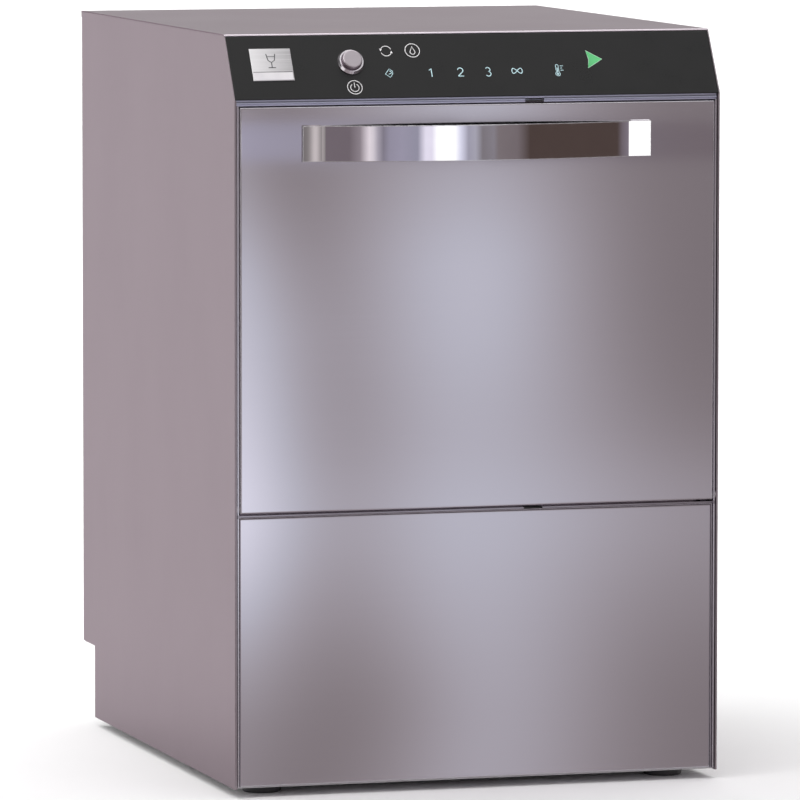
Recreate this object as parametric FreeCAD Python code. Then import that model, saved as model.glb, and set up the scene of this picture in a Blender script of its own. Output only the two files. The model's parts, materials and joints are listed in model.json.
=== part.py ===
"""Undercounter glass washer with a drop-down door, for 400 x 400 mm racks.

Lengths are in millimetres. Every piece is drawn in cabinet coordinates: x to the right as seen from
the front, y into the cabinet from its front plane, z up from the cabinet's underside. save() moves
it into the part's own frame, whose origin is on the floor under the middle of the whole object.
"""

import FreeCAD
import Part
import math
import os

V = FreeCAD.Vector
X_AXIS = V(1, 0, 0)
Y_AXIS = V(0, 1, 0)
Z_AXIS = V(0, 0, 1)

# ---- driving dimensions -------------------------------------------------------------------------
WIDTH = 460.0
DEPTH = 548.0
HEIGHT = 680.0
FOOT_HEIGHT = 8.5
SHEET = 1.0
SLOPE_SETBACK = 35.0          # how far the sloping control head leans back
SLOPE_BOTTOM = 622.0          # height at which the control head starts
RECESS_DEPTH = 45.0           # the step at the lower back where water and power enter
RECESS_HEIGHT = 70.0
HANDLE_BOW = 23.0             # how far the handle's middle stands off its ends
HANDLE_THICKNESS = 2.0

HALF = WIDTH / 2
SKIN_BACK = DEPTH - 2.0       # the sides stop short of the top's rear lip
TOP_UNDERSIDE = HEIGHT - SHEET
RECESS_FACE = DEPTH - RECESS_DEPTH

# ---- door, its gap and its hinge ----------------------------------------------------------------
DOOR_HALF = 224.7
DOOR_BOTTOM = 250.0
DOOR_TOP = 616.0
DOOR_DEPTH = 26.0
HINGE_Y = 4.2
HINGE_Z = 254.2
HINGE_PIN_RADIUS = 2.5
PLATEAU_HALF = 198.0          # raised middle of the door's liner, the shelf a rack slides over
PLATEAU_BOTTOM = 285.0
PLATEAU_TOP = 592.0
PLATEAU_RISE = 3.0

HANDLE_CENTRE_X = -2.0
HANDLE_HALF = 164.8
HANDLE_FLANGE = 18.0
HANDLE_BOTTOM = 566.3
HANDLE_TOP = 598.8

# ---- front frame --------------------------------------------------------------------------------
POST_INNER = 225.8
POST_OUTER = 227.2
FRAME_Y = 28.0
FRAME_SHEET = 1.5
OPENING_HALF = 203.0
OPENING_BOTTOM = 275.0
OPENING_TOP = 600.0
RAIL_BOTTOM = 246.4
RAIL_TOP = 248.0
RAIL_FRONT = 4.0
LATCH_SLOT = (44.2, 62.0)     # x range of the small slots above and below the door
LOWER_PANEL_Y = 4.0
LOWER_PANEL_TOP = 245.4
LOWER_PANEL_BOTTOM = 1.0
LOWER_PANEL_HALF = 224.6

# ---- wash chamber -------------------------------------------------------------------------------
TUB_HALF = 207.0              # inside the walls
TUB_BACK = 478.0
TUB_CEILING = 606.0
TUB_FLOOR = 232.0
TUB_SHEET = 1.0
WELL_HALF = 140.0
WELL_Y = (115.0, 395.0)
WELL_FLOOR = 168.0
PUMP_OUTLET = (-60.0, 200.0)
OVERFLOW = (90.0, 330.0)
TANK_HEATER_X = (30.0, 60.0)
TANK_HEATER_Z = WELL_FLOOR + 10
ARM_Y = 250.0                 # the axis that the spray arms turn about
SPINDLE_RADIUS = 8.0
RUNNING = 0.06                # radial clearance of a running fit
WASH_ARM_REACH = 186.0
RINSE_ARM_REACH = 168.0
RACK_HALF = 200.0
RACK_Y = (60.0, 460.0)
RACK_BOTTOM = 287.2
RACK_FLOOR = 5.0
RACK_WALL_HEIGHT = 104.0
RACK_WALL = 3.0

# ---- control head -------------------------------------------------------------------------------
SLOPE_RISE = HEIGHT - SLOPE_BOTTOM
SLOPE_LENGTH = math.hypot(SLOPE_SETBACK, SLOPE_RISE)
SLOPE_UP = V(0, SLOPE_SETBACK, SLOPE_RISE) * (1 / SLOPE_LENGTH)
SLOPE_OUT = V(0, -SLOPE_RISE, SLOPE_SETBACK) * (1 / SLOPE_LENGTH)
FASCIA_HALF = 228.6
FASCIA_SHEET = 3.0
FASCIA_TO = 65.4
FASCIA_EDGE = SLOPE_BOTTOM + 0.5    # height of the fascia's level lower edge
BUTTON_X = -115.7
BUTTON_UP = 37.6              # distance up the slope to the button's axis
BEZEL_RADIUS = 12.5
BEZEL_HEIGHT = 3.6
CAP_RADIUS = 9.1
CAP_TOP = 7.4
BUTTON_TRAVEL = 2.5
BUTTON_THREAD_RADIUS = 10.8

# ---- door springs --------------------------------------------------------------------------------
SPRING_X = 220.5
SPRING_Y = 58.0
SPRING_WIRE = 1.1
SPRING_EYE = 2.4              # radius of the holes that the springs hook into
SPRING_EYE_LOW = 23.0
SPRING_EYE_HIGH = 256.65
SPRING_HOOK = 6.0

# ---- feet ---------------------------------------------------------------------------------------
FOOT_RADIUS = 17.5
FOOT_X = 192.5
FOOT_FRONT_Y = 45.0
FOOT_REAR_Y = 460.0
STUD_RADIUS = 5.0
STUD_TOP = 24.0

# ---- service connections in the rear recess -----------------------------------------------------
INLET_X = -110.0
INLET_Z = 36.0
INLET_THREAD_RADIUS = 13.2    # G 3/4 male
DRAIN_X = 20.0
DRAIN_Z = 30.0
DRAIN_RADIUS = 11.0
GLAND_X = 130.0
GLAND_Z = 36.0
CABLE_RADIUS = 5.5

FRONT_PLANE_Y = -(DEPTH - HANDLE_BOW - HANDLE_THICKNESS) / 2
TO_FRAME = V(0, FRONT_PLANE_Y, FOOT_HEIGHT)


# ---- small helpers ------------------------------------------------------------------------------
def box(x, y, z):
    return Part.makeBox(x[1] - x[0], y[1] - y[0], z[1] - z[0], V(x[0], y[0], z[0]))


def rod(start, axis, radius, length):
    return Part.makeCylinder(radius, length, V(*start), axis)


def tube(start, axis, outer, inner, length):
    return rod(start, axis, outer, length).cut(rod(start, axis, inner, length))


def prism(points, direction):
    wire = Part.makePolygon([V(*p) for p in points + points[:1]])
    return Part.Face(wire).extrude(direction)


def joined(shapes):
    first, *rest = shapes
    return first.multiFuse(rest).removeSplitter() if rest else first


def without(shape, cutters):
    return shape.cut(cutters)


def mirrored(shape):
    return shape.mirror(V(0, 0, 0), X_AXIS)


def both_sides(shape):
    return [shape, mirrored(shape)]


def rounded(shape, radius, wanted):
    return shape.makeFillet(radius, [edge for edge in shape.Edges if wanted(edge)])


def along(edge, axis):
    """True for a straight edge that runs along the axis."""
    first, last = edge.Vertexes[0].Point, edge.Vertexes[-1].Point
    run = last - first
    return run.Length > 1e-6 and abs(abs(run.dot(axis)) - run.Length) < 1e-6


def hexagon(centre, axis, radius, length):
    """A hexagonal prism whose corners lie on the radius."""
    side = axis.cross(Z_AXIS if abs(axis.z) < 0.9 else X_AXIS).normalize()
    up = axis.cross(side)
    turns = [math.radians(60 * k) for k in range(6)]
    ring = [V(*centre) + side * (radius * math.cos(a)) + up * (radius * math.sin(a)) for a in turns]
    return Part.Face(Part.makePolygon(ring + ring[:1])).extrude(axis * length)


def on_slope(x, up, out):
    """A point of the control head: up along the slope, out from the fascia's face."""
    return V(x, 0, SLOPE_BOTTOM) + SLOPE_UP * up + SLOPE_OUT * out


def slope_slab(x, up, out):
    """A block parallel to the sloping fascia."""
    corners = [(up[0], out[0]), (up[1], out[0]), (up[1], out[1]), (up[0], out[1])]
    ring = [on_slope(x[0], a, b) for a, b in corners]
    return Part.Face(Part.makePolygon(ring + ring[:1])).extrude(X_AXIS * (x[1] - x[0]))


def pipe_path(points, bend):
    """Straight runs joined by tangent arcs of one bend radius."""
    points = [V(*p) for p in points]
    edges = []
    start = points[0]
    for before, corner, after in zip(points, points[1:], points[2:]):
        back = (before - corner).normalize()
        ahead = (after - corner).normalize()
        half_turn = back.getAngle(ahead) / 2
        reach = bend / math.tan(half_turn)
        arc_from = corner + back * reach
        arc_to = corner + ahead * reach
        middle = (back + ahead).normalize()
        arc_mid = corner + middle * (bend / math.sin(half_turn) - bend)
        edges.append(Part.LineSegment(start, arc_from).toShape())
        edges.append(Part.Arc(arc_from, arc_mid, arc_to).toShape())
        start = arc_to
    edges.append(Part.LineSegment(start, points[-1]).toShape())
    return Part.Wire(edges)


def pipe(points, bend, outer, inner):
    path = pipe_path(points, bend)
    heading = path.Edges[0].tangentAt(path.Edges[0].FirstParameter)

    def swept(radius):
        ring = Part.Wire([Part.makeCircle(radius, V(*points[0]), heading)])
        return path.makePipeShell([ring], True, True)

    return swept(outer).cut(swept(inner))


# ---- outer casing -------------------------------------------------------------------------------
def side_panel():
    """Right-hand side: one sheet with a hemmed front edge and a step for the rear recess."""
    outline = [
        (HALF, 0, 0),
        (HALF, 0, SLOPE_BOTTOM),
        (HALF, SLOPE_SETBACK - 0.6, TOP_UNDERSIDE),
        (HALF, SKIN_BACK, TOP_UNDERSIDE),
        (HALF, SKIN_BACK, RECESS_HEIGHT),
        (HALF, RECESS_FACE, RECESS_HEIGHT),
        (HALF, RECESS_FACE, 0),
    ]
    sheet = prism(outline, V(-SHEET, 0, 0))
    hem = box((HALF - 2 * SHEET, HALF - SHEET), (0, 7.5), (0, SLOPE_BOTTOM))
    body = joined([sheet, hem])
    return rounded(body, 0.9, lambda e: along(e, Z_AXIS) and e.CenterOfMass.x > HALF - 0.1
                   and e.CenterOfMass.y < 0.1)


def top_panel():
    """Flat top with a bend down the slope in front and a short lip behind."""
    lip_drop = 6.0
    nose = 1.6
    sheet = box((-HALF, HALF), (SLOPE_SETBACK, DEPTH), (TOP_UNDERSIDE, HEIGHT))
    lip = box((-HALF, HALF), (DEPTH - SHEET, DEPTH), (HEIGHT - lip_drop, HEIGHT))
    bend = slope_slab((-HALF, HALF), (SLOPE_LENGTH - nose, SLOPE_LENGTH), (-SHEET, 0))
    fill = box((-HALF, HALF), (SLOPE_SETBACK - 0.3, SLOPE_SETBACK + 1.2), (TOP_UNDERSIDE, HEIGHT))
    fill = fill.common(slope_slab((-HALF, HALF), (0, SLOPE_LENGTH + 5), (-6, 0)))
    body = joined([sheet, lip, bend, fill])
    rear_top = lambda e: along(e, X_AXIS) and e.CenterOfMass.y > DEPTH - 0.1
    return rounded(body, 0.9, lambda e: rear_top(e) and e.CenterOfMass.z > HEIGHT - 0.1)


def louvre_slots(centre_x, low_z, rows):
    slot_length, slot_height, pitch = 70.0, 3.5, 11.0
    slots = []
    for row in range(rows):
        z = low_z + row * pitch
        x = (centre_x - slot_length / 2, centre_x + slot_length / 2)
        slots.append(box(x, (SKIN_BACK - 4, SKIN_BACK + 2), (z, z + slot_height)))
    return slots


def rear_screw_places():
    rows = (92.0, 280.0, 470.0, 655.0)
    return [(x, z) for x in (-218.0, 218.0) for z in rows]


def rear_panel():
    back = SKIN_BACK - 0.2
    sheet = box((-HALF + SHEET, HALF - SHEET), (back - SHEET, back), (RECESS_HEIGHT, TOP_UNDERSIDE))
    hem = [box(x, (back - 9, back - SHEET), (RECESS_HEIGHT + 10, TOP_UNDERSIDE - 10))
           for x in ((-HALF + SHEET, -HALF + 2 * SHEET), (HALF - 2 * SHEET, HALF - SHEET))]
    slots = louvre_slots(-110, 130, 8) + louvre_slots(110, 130, 8)
    slots += louvre_slots(-110, 570, 5) + louvre_slots(110, 570, 5)
    holes = [rod((x, back - 3, z), Y_AXIS, 2.1, 6) for x, z in rear_screw_places()]
    return without(joined([sheet] + hem), slots + holes)


def panel_screws():
    """Pan-head screws of the rear panel."""
    back = SKIN_BACK - 0.2
    screws = []
    for x, z in rear_screw_places():
        head = rounded(rod((x, back, z), Y_AXIS, 3.8, 2.2), 0.9,
                       lambda e: e.CenterOfMass.y > back + 2)
        slot = box((x - 0.5, x + 0.5), (back + 1.2, back + 3), (z - 2.6, z + 2.6))
        cross = box((x - 2.6, x + 2.6), (back + 1.2, back + 3), (z - 0.5, z + 0.5))
        shank = rod((x, back - 8, z), Y_AXIS, 2.0, 8)
        screws.append(without(joined([head, shank]), [slot, cross]))
    return Part.makeCompound(screws)


def service_recess_panel():
    """The step at the lower back, with holes for water in, water out and the mains lead."""
    inside = HALF - SHEET
    face = box((-inside, inside), (RECESS_FACE - SHEET, RECESS_FACE), (2, RECESS_HEIGHT))
    shelf = box((-inside, inside), (RECESS_FACE, SKIN_BACK - 1.2), (RECESS_HEIGHT - SHEET, RECESS_HEIGHT))
    holes = [
        rod((INLET_X, RECESS_FACE - 5, INLET_Z), Y_AXIS, INLET_THREAD_RADIUS + 0.4, 10),
        rod((DRAIN_X, RECESS_FACE - 5, DRAIN_Z), Y_AXIS, DRAIN_RADIUS + 0.4, 10),
        rod((GLAND_X, RECESS_FACE - 5, GLAND_Z), Y_AXIS, 10.4, 10),
    ]
    return without(joined([face, shelf]), holes)


def foot_places():
    return {
        "foot_front_left": (-FOOT_X, FOOT_FRONT_Y),
        "foot_front_right": (FOOT_X, FOOT_FRONT_Y),
        "foot_rear_left": (-FOOT_X, FOOT_REAR_Y),
        "foot_rear_right": (FOOT_X, FOOT_REAR_Y),
    }


def base_tray():
    """Folded tray that carries the pumps; the feet screw into its corners."""
    sheet = 1.5
    inside = HALF - SHEET - 0.4
    y = (8.0, RECESS_FACE - SHEET)
    rim = 26.0
    tray = box((-inside, inside), y, (0, rim))
    hollow = box((-inside + sheet, inside - sheet), (y[0] + sheet, y[1] + 5), (sheet, rim + 5))
    posts = both_sides(box((POST_INNER - 2, POST_OUTER + 2), (y[0] - 1, FRAME_Y + 3), (sheet, rim + 1)))
    vents = [box((-60 + 40 * k, -44 + 40 * k), (170, 250), (-1, 3)) for k in range(4)]
    folded = without(tray, [hollow] + posts + vents)
    bushes = [hexagon((*place, sheet - 0.5), Z_AXIS, 9.8, 9.0) for place in foot_places().values()]
    tab = box((SPRING_X - 1.5, SPRING_X + 1.5), (SPRING_Y - 9, SPRING_Y + 9), (sheet - 0.5, SPRING_EYE_LOW + 5))
    threads = [rod((*place, -5), Z_AXIS, STUD_RADIUS + RUNNING, 25) for place in foot_places().values()]
    eye = rod((SPRING_X - 5, SPRING_Y, SPRING_EYE_LOW), X_AXIS, SPRING_EYE, 10)
    return without(joined([folded] + bushes + both_sides(tab)), threads + both_sides(eye))


def foot(x, y):
    """Round plastic pad moulded on a threaded stud."""
    pad = rod((x, y, -FOOT_HEIGHT), Z_AXIS, FOOT_RADIUS, FOOT_HEIGHT - 0.5)
    pad = rounded(pad, 1.6, lambda e: e.CenterOfMass.z < -FOOT_HEIGHT + 0.1)
    pad = rounded(pad, 0.8, lambda e: e.CenterOfMass.z > -0.6 and e.Closed)
    stud = rod((x, y, -1), Z_AXIS, STUD_RADIUS, STUD_TOP + 1)
    return joined([pad, stud])


# ---- front frame and lower panel ----------------------------------------------------------------
def front_frame():
    """Posts either side of the door, the plate round the chamber's mouth and the rail under the door."""
    back = FRAME_Y + FRAME_SHEET
    top = SLOPE_BOTTOM - 5.0
    post = box((POST_INNER, POST_OUTER), (1, back), (1.6, top))
    post = post.cut(rod((POST_INNER - 2, HINGE_Y, HINGE_Z), X_AXIS, HINGE_PIN_RADIUS, 5))
    plate = box((-POST_INNER, POST_INNER), (FRAME_Y, back), (TUB_FLOOR - TUB_SHEET, top))
    mouth = box((-OPENING_HALF, OPENING_HALF), (FRAME_Y - 5, back + 5), (OPENING_BOTTOM, OPENING_TOP))
    mouth = rounded(mouth, 14, lambda e: along(e, Y_AXIS))
    lip_outer = box((-OPENING_HALF - 1.2, OPENING_HALF + 1.2), (back, back + 5),
                    (OPENING_BOTTOM - 1.2, OPENING_TOP + 1.2))
    lip_outer = rounded(lip_outer, 15.2, lambda e: along(e, Y_AXIS))
    rail = box((-POST_INNER, POST_INNER), (RAIL_FRONT, FRAME_Y), (RAIL_BOTTOM, RAIL_TOP))
    arm_slot = box((218.0, 223.2), (FRAME_Y - 1, back + 1), (RAIL_TOP + 0.6, 316))
    latch = box(LATCH_SLOT, (RAIL_FRONT - 1, RAIL_FRONT + 11), (RAIL_BOTTOM - 1, RAIL_TOP + 1))
    body = joined([plate, lip_outer, rail] + both_sides(post))
    return without(body, [mouth, latch] + both_sides(arm_slot))


def lower_front_panel():
    """Service cover under the door, folded on all four edges."""
    half = LOWER_PANEL_HALF
    depth = 14.0
    y = (LOWER_PANEL_Y, LOWER_PANEL_Y + depth)
    z = (LOWER_PANEL_BOTTOM, LOWER_PANEL_TOP)
    block = box((-half, half), y, z)
    front = lambda e: e.CenterOfMass.y < y[0] + 0.1
    block = rounded(block, 1.4, front)
    hollow = box((-half + SHEET, half - SHEET), (y[0] + SHEET, y[1] + 5), (z[0] + SHEET, z[1] - SHEET))
    tray_gap = box((-half - 5, half + 5), (7.5, y[1] + 1), (z[0] - 5, 27))
    return without(block, [hollow, tray_gap])


# ---- control head -------------------------------------------------------------------------------
def control_bracket():
    """Sheet behind the fascia; its lower edge is the strip seen above the door."""
    sheet = 1.2
    half = HALF - 2 * SHEET - 0.4
    strip_y = (3.0, 3.0 + sheet)
    shelf_z = (SLOPE_BOTTOM - 5.0, SLOPE_BOTTOM - 5.0 + sheet)
    back_of_fascia = -FASCIA_SHEET
    slab = slope_slab((-half, half), (-1.6, SLOPE_LENGTH - 2.2), (back_of_fascia - sheet, back_of_fascia))
    strip = box((-half, half), strip_y, (shelf_z[0], FASCIA_EDGE - 0.1))
    shelf = box((-half, half), (strip_y[0], FRAME_Y + FRAME_SHEET + 6), shelf_z)
    latch = box(LATCH_SLOT, (strip_y[0] - 1, 14), (shelf_z[0] - 1, shelf_z[0] + 3.6))
    button = Part.makeCylinder(BUTTON_THREAD_RADIUS + 0.3, 20,
                               on_slope(BUTTON_X, BUTTON_UP, -10), SLOPE_OUT)
    window = slope_slab((-92, 132), (14, 58), (-12, 5))
    return without(joined([slab, strip, shelf]), [latch, button, window])


def control_fascia():
    """Dark glossy touch panel with a hole for the power button."""
    slab = slope_slab((-FASCIA_HALF, FASCIA_HALF), (-FASCIA_SHEET, FASCIA_TO), (-FASCIA_SHEET, 0))
    slab = slab.common(box((-HALF, HALF), (-5, SLOPE_SETBACK + 5), (FASCIA_EDGE, HEIGHT)))
    hole = Part.makeCylinder(BUTTON_THREAD_RADIUS + 0.2, 20,
                             on_slope(BUTTON_X, BUTTON_UP, -10), SLOPE_OUT)
    face_edge = lambda e: abs((e.CenterOfMass - on_slope(0, 0, 0)).dot(SLOPE_OUT)) < 0.01
    return rounded(slab, 0.5, face_edge).cut(hole)


def nameplate():
    thickness = 0.8
    plate = slope_slab((-209.2, -170.8), (19.8, 52.4), (0, thickness))
    edge = lambda e: (e.CenterOfMass - on_slope(0, 0, 0)).dot(SLOPE_OUT) > thickness - 0.01
    return rounded(plate, 0.3, edge)


def button_part(profile):
    """A turned part on the button's axis, from (radius, height over the fascia) pairs."""
    points = [V(radius, 0, height) for radius, height in profile]
    solid = Part.Face(Part.makePolygon(points + points[:1])).revolve(V(0, 0, 0), Z_AXIS, 360)
    solid.rotate(V(0, 0, 0), X_AXIS, math.degrees(SLOPE_UP.getAngle(Y_AXIS)))
    solid.translate(on_slope(BUTTON_X, BUTTON_UP, 0))
    return solid


def power_button_housing():
    """Steel bezel, threaded barrel and closed back of the push button."""
    bore = CAP_RADIUS + 0.08
    floor = CAP_TOP - 12.0
    return button_part([
        (0, -24), (BUTTON_THREAD_RADIUS, -24), (BUTTON_THREAD_RADIUS, 0), (BEZEL_RADIUS, 0),
        (BEZEL_RADIUS, 1.0), (BEZEL_RADIUS - 1.5, BEZEL_HEIGHT), (bore + 0.6, BEZEL_HEIGHT),
        (bore, BEZEL_HEIGHT - 0.6), (bore, floor), (0, floor),
    ])


def power_button_cap():
    length = 12.0 - BUTTON_TRAVEL - 0.6
    return button_part([
        (0, CAP_TOP - length), (CAP_RADIUS, CAP_TOP - length), (CAP_RADIUS, CAP_TOP - 0.9),
        (CAP_RADIUS - 0.3, CAP_TOP - 0.25), (CAP_RADIUS - 1.0, CAP_TOP), (0, CAP_TOP),
    ])


def power_button_nut():
    back_of_bracket = -FASCIA_SHEET - 1.2
    start = on_slope(BUTTON_X, BUTTON_UP, back_of_bracket - 4.0)
    nut = hexagon((start.x, start.y, start.z), SLOPE_OUT, 14.5, 4.0)
    return nut.cut(Part.makeCylinder(BUTTON_THREAD_RADIUS + 0.05, 60, start - SLOPE_OUT * 10, SLOPE_OUT))


def control_board():
    """Circuit board with its touch springs, display driver and relays."""
    board = slope_slab((-90, 130), (17, 62), (-13.6, -12))
    touch_keys = [slope_slab((x - 4, x + 4), (up - 4, up + 4), (-12, -3.6))
                  for x, up in ((-80.9, 48.8), (-56.0, 49.0), (112.0, 37.4))]
    lamps = [slope_slab((x - 3, x + 3), (23.2, 29.2), (-12, -3.6))
             for x in (-80.9, -41.5, -14.0, 12.4, 39.8, 79.8)]
    relays = [slope_slab((x, x + 18), (18, 34), (-27, -13.6)) for x in (-70, -40, -10, 20)]
    chip = slope_slab((60, 82), (20, 42), (-16, -13.6))
    return joined([board] + touch_keys + lamps + relays + [chip])


def door_switch():
    """Magnetic door sensor behind the slot over the door."""
    nose = box((LATCH_SLOT[0] + 0.3, LATCH_SLOT[1] - 0.3), (3.8, 13.6), (617.4, 620.2))
    housing = box((LATCH_SLOT[0] - 3, LATCH_SLOT[1] + 3), (11, 24), (620.2, 629))
    clip = box((LATCH_SLOT[0] - 3, LATCH_SLOT[1] + 3), (14.2, 24), (618.2, 620.2))
    ribs = [box((x, x + 1.2), (3.4, 3.8), (617.4, 620.2)) for x in (48.2, 52.5, 56.8)]
    return joined([nose, housing, clip] + ribs)


# ---- door ---------------------------------------------------------------------------------------
def handle_stud_places():
    reach = HANDLE_HALF - HANDLE_FLANGE / 2
    return [(HANDLE_CENTRE_X + side * reach, z) for side in (-1, 1) for z in (574.5, 590.6)]


def door_skin():
    """Outer sheet of the door, folded back on all four sides."""
    block = box((-DOOR_HALF, DOOR_HALF), (0, DOOR_DEPTH - 1), (DOOR_BOTTOM, DOOR_TOP))
    block = rounded(block, 1.4, lambda e: e.CenterOfMass.y < 0.1)
    hollow = box((-DOOR_HALF + SHEET, DOOR_HALF - SHEET), (SHEET, DOOR_DEPTH + 5),
                 (DOOR_BOTTOM + SHEET, DOOR_TOP - SHEET))
    pins = rod((-HALF, HINGE_Y, HINGE_Z), X_AXIS, HINGE_PIN_RADIUS + 0.3, WIDTH)
    studs = [rod((x, -5, z), Y_AXIS, 2.7, 10) for x, z in handle_stud_places()]
    return without(block, [hollow, pins] + studs)


def door_liner():
    """Inner sheet of the door, with the raised middle that a rack slides over."""
    edge = 0.5
    back = (DOOR_DEPTH - 1, DOOR_DEPTH)
    sheet = box((-DOOR_HALF + edge, DOOR_HALF - edge), back, (DOOR_BOTTOM + edge, DOOR_TOP - edge))
    raised = box((-PLATEAU_HALF, PLATEAU_HALF), (back[0], back[1] + PLATEAU_RISE),
                 (PLATEAU_BOTTOM, PLATEAU_TOP))
    raised = rounded(raised, 12, lambda e: along(e, Y_AXIS))
    raised = rounded(raised, 1.8, lambda e: e.CenterOfMass.y > back[1] + PLATEAU_RISE - 0.1)
    hollow = box((-PLATEAU_HALF + SHEET, PLATEAU_HALF - SHEET), (back[0] - 5, back[1] + PLATEAU_RISE - SHEET),
                 (PLATEAU_BOTTOM + SHEET, PLATEAU_TOP - SHEET))
    hollow = rounded(hollow, 11, lambda e: along(e, Y_AXIS))
    arm_slot = box((218.4, 222.6), (back[0] - 1, back[1] + 1), (DOOR_BOTTOM + 0.6, 263))
    return without(joined([sheet, raised]), [hollow] + both_sides(arm_slot))


def door_handle():
    """Strap bent to a shallow arc, with a flat foot at each end and two welded studs in each."""
    span = HANDLE_HALF - HANDLE_FLANGE
    z = HANDLE_BOTTOM
    inner_bow = HANDLE_BOW
    outer_bow = HANDLE_BOW + HANDLE_THICKNESS

    def at(x, y):
        return V(HANDLE_CENTRE_X + x, -y, z)

    thick = HANDLE_THICKNESS
    edges = [
        Part.LineSegment(at(-HANDLE_HALF, 0), at(-HANDLE_HALF, thick)),
        Part.LineSegment(at(-HANDLE_HALF, thick), at(-span, thick)),
        Part.Arc(at(-span, thick), at(0, outer_bow), at(span, thick)),
        Part.LineSegment(at(span, thick), at(HANDLE_HALF, thick)),
        Part.LineSegment(at(HANDLE_HALF, thick), at(HANDLE_HALF, 0)),
        Part.LineSegment(at(HANDLE_HALF, 0), at(span - 0.6, 0)),
        Part.Arc(at(span - 0.6, 0), at(0, inner_bow), at(-span + 0.6, 0)),
        Part.LineSegment(at(-span + 0.6, 0), at(-HANDLE_HALF, 0)),
    ]
    strap = Part.Face(Part.Wire([e.toShape() for e in edges])).extrude(Z_AXIS * (HANDLE_TOP - z))
    outline = lambda e: e.CenterOfMass.z > HANDLE_TOP - 0.01 or e.CenterOfMass.z < z + 0.01
    strap = rounded(strap, 0.4, lambda e: outline(e) and e.Length > HANDLE_FLANGE - 1)
    studs = [rod((x, -0.5, z_), Y_AXIS, 2.5, 10.5) for x, z_ in handle_stud_places()]
    return joined([strap] + studs)


def handle_nuts():
    nuts = []
    for x, z in handle_stud_places():
        washer = rod((x, SHEET, z), Y_AXIS, 5.5, 1.0)
        nut = joined([washer, hexagon((x, SHEET + 1, z), Y_AXIS, 4.6, 4.0)])
        nuts.append(nut.cut(rod((x, 0, z), Y_AXIS, 2.52, 20)))
    return Part.makeCompound(nuts)


def hinge_arms():
    """Plates fixed inside the door; each lever reaches back through the frame to its spring."""
    x = SPRING_X - 1.5
    front, back = SHEET, DOOR_DEPTH - SHEET
    low, high, lever_top = 251.3, 300.0, 262.0
    outline = [(x, front, low), (x, front, high), (x, back, high), (x, back, lever_top),
               (x, SPRING_Y, lever_top), (x, SPRING_Y, low)]
    eye = (x, SPRING_Y, SPRING_EYE_HIGH)
    arm = joined([prism(outline, V(3, 0, 0)), rod(eye, X_AXIS, (lever_top - low) / 2, 3)])
    pin_hole = rod((x - 1, HINGE_Y, HINGE_Z), X_AXIS, HINGE_PIN_RADIUS + RUNNING, 5)
    arm = without(arm, [rod(eye, X_AXIS, SPRING_EYE, 5), pin_hole])
    return Part.makeCompound(both_sides(arm))


def hinge_pins():
    """Headed pins held in the posts; the door turns on their inner ends."""
    head = rod((POST_OUTER, HINGE_Y, HINGE_Z), X_AXIS, 3.8, 0.7)
    shank = rod((217.4, HINGE_Y, HINGE_Z), X_AXIS, HINGE_PIN_RADIUS, POST_OUTER - 217.4)
    return Part.makeCompound(both_sides(joined([head, shank])))


def door_springs():
    """Close-wound extension springs that balance the door, hooked to the base and the hinge levers."""
    coil = 5.6
    bottom, top, turns = 64.0, 218.0, 35
    pitch = (top - bottom) / turns
    profile = []
    for k in range(turns):
        low = V(coil, 0, bottom + k * pitch)
        high = V(coil, 0, bottom + (k + 1) * pitch)
        crest = V(coil + SPRING_WIRE, 0, bottom + (k + 0.5) * pitch)
        profile.append(Part.Arc(low, crest, high).toShape())
    inner = coil - SPRING_WIRE
    ends = [V(coil, 0, top), V(inner, 0, top), V(inner, 0, bottom), V(coil, 0, bottom)]
    profile += [Part.LineSegment(a, b).toShape() for a, b in zip(ends, ends[1:])]
    body = Part.Face(Part.Wire(profile)).revolve(V(0, 0, 0), Z_AXIS, 360)
    caps = [rod((0, 0, z), Z_AXIS, coil, 1.5) for z in (bottom, top - 1.5)]
    low_hook = SPRING_EYE_LOW + SPRING_HOOK
    high_hook = SPRING_EYE_HIGH - SPRING_HOOK
    rings = [Part.makeTorus(SPRING_HOOK, SPRING_WIRE, V(0, 0, z), Y_AXIS) for z in (low_hook, high_hook)]
    low_wire = rod((0, 0, low_hook + SPRING_HOOK), Z_AXIS, SPRING_WIRE, bottom - low_hook - SPRING_HOOK + 1)
    high_wire = rod((0, 0, top - 1), Z_AXIS, SPRING_WIRE, high_hook - SPRING_HOOK - top + 1)
    spring = joined([body] + caps + rings + [low_wire, high_wire])
    spring.translate(V(SPRING_X, SPRING_Y, 0))
    return Part.makeCompound(both_sides(spring))


def door_magnet():
    x = (LATCH_SLOT[0], LATCH_SLOT[1])
    return box(x, (6, 14), (DOOR_TOP - SHEET - 6, DOOR_TOP - SHEET))


# ---- wash chamber -------------------------------------------------------------------------------
def tub_gasket():
    """Rubber ring on the frame plate that the door's liner meets."""
    y = (DOOR_DEPTH + 0.35, FRAME_Y)
    outer = box((-215, 215), y, (OPENING_BOTTOM - 12, OPENING_TOP + 12))
    outer = rounded(outer, 18, lambda e: along(e, Y_AXIS))
    outer = rounded(outer, 0.7, lambda e: e.CenterOfMass.y < y[0] + 0.01)
    inner = box((-OPENING_HALF - 2, OPENING_HALF + 2), (y[0] - 1, y[1] + 1),
                (OPENING_BOTTOM - 2, OPENING_TOP + 2))
    return outer.cut(rounded(inner, 14, lambda e: along(e, Y_AXIS)))


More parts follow.
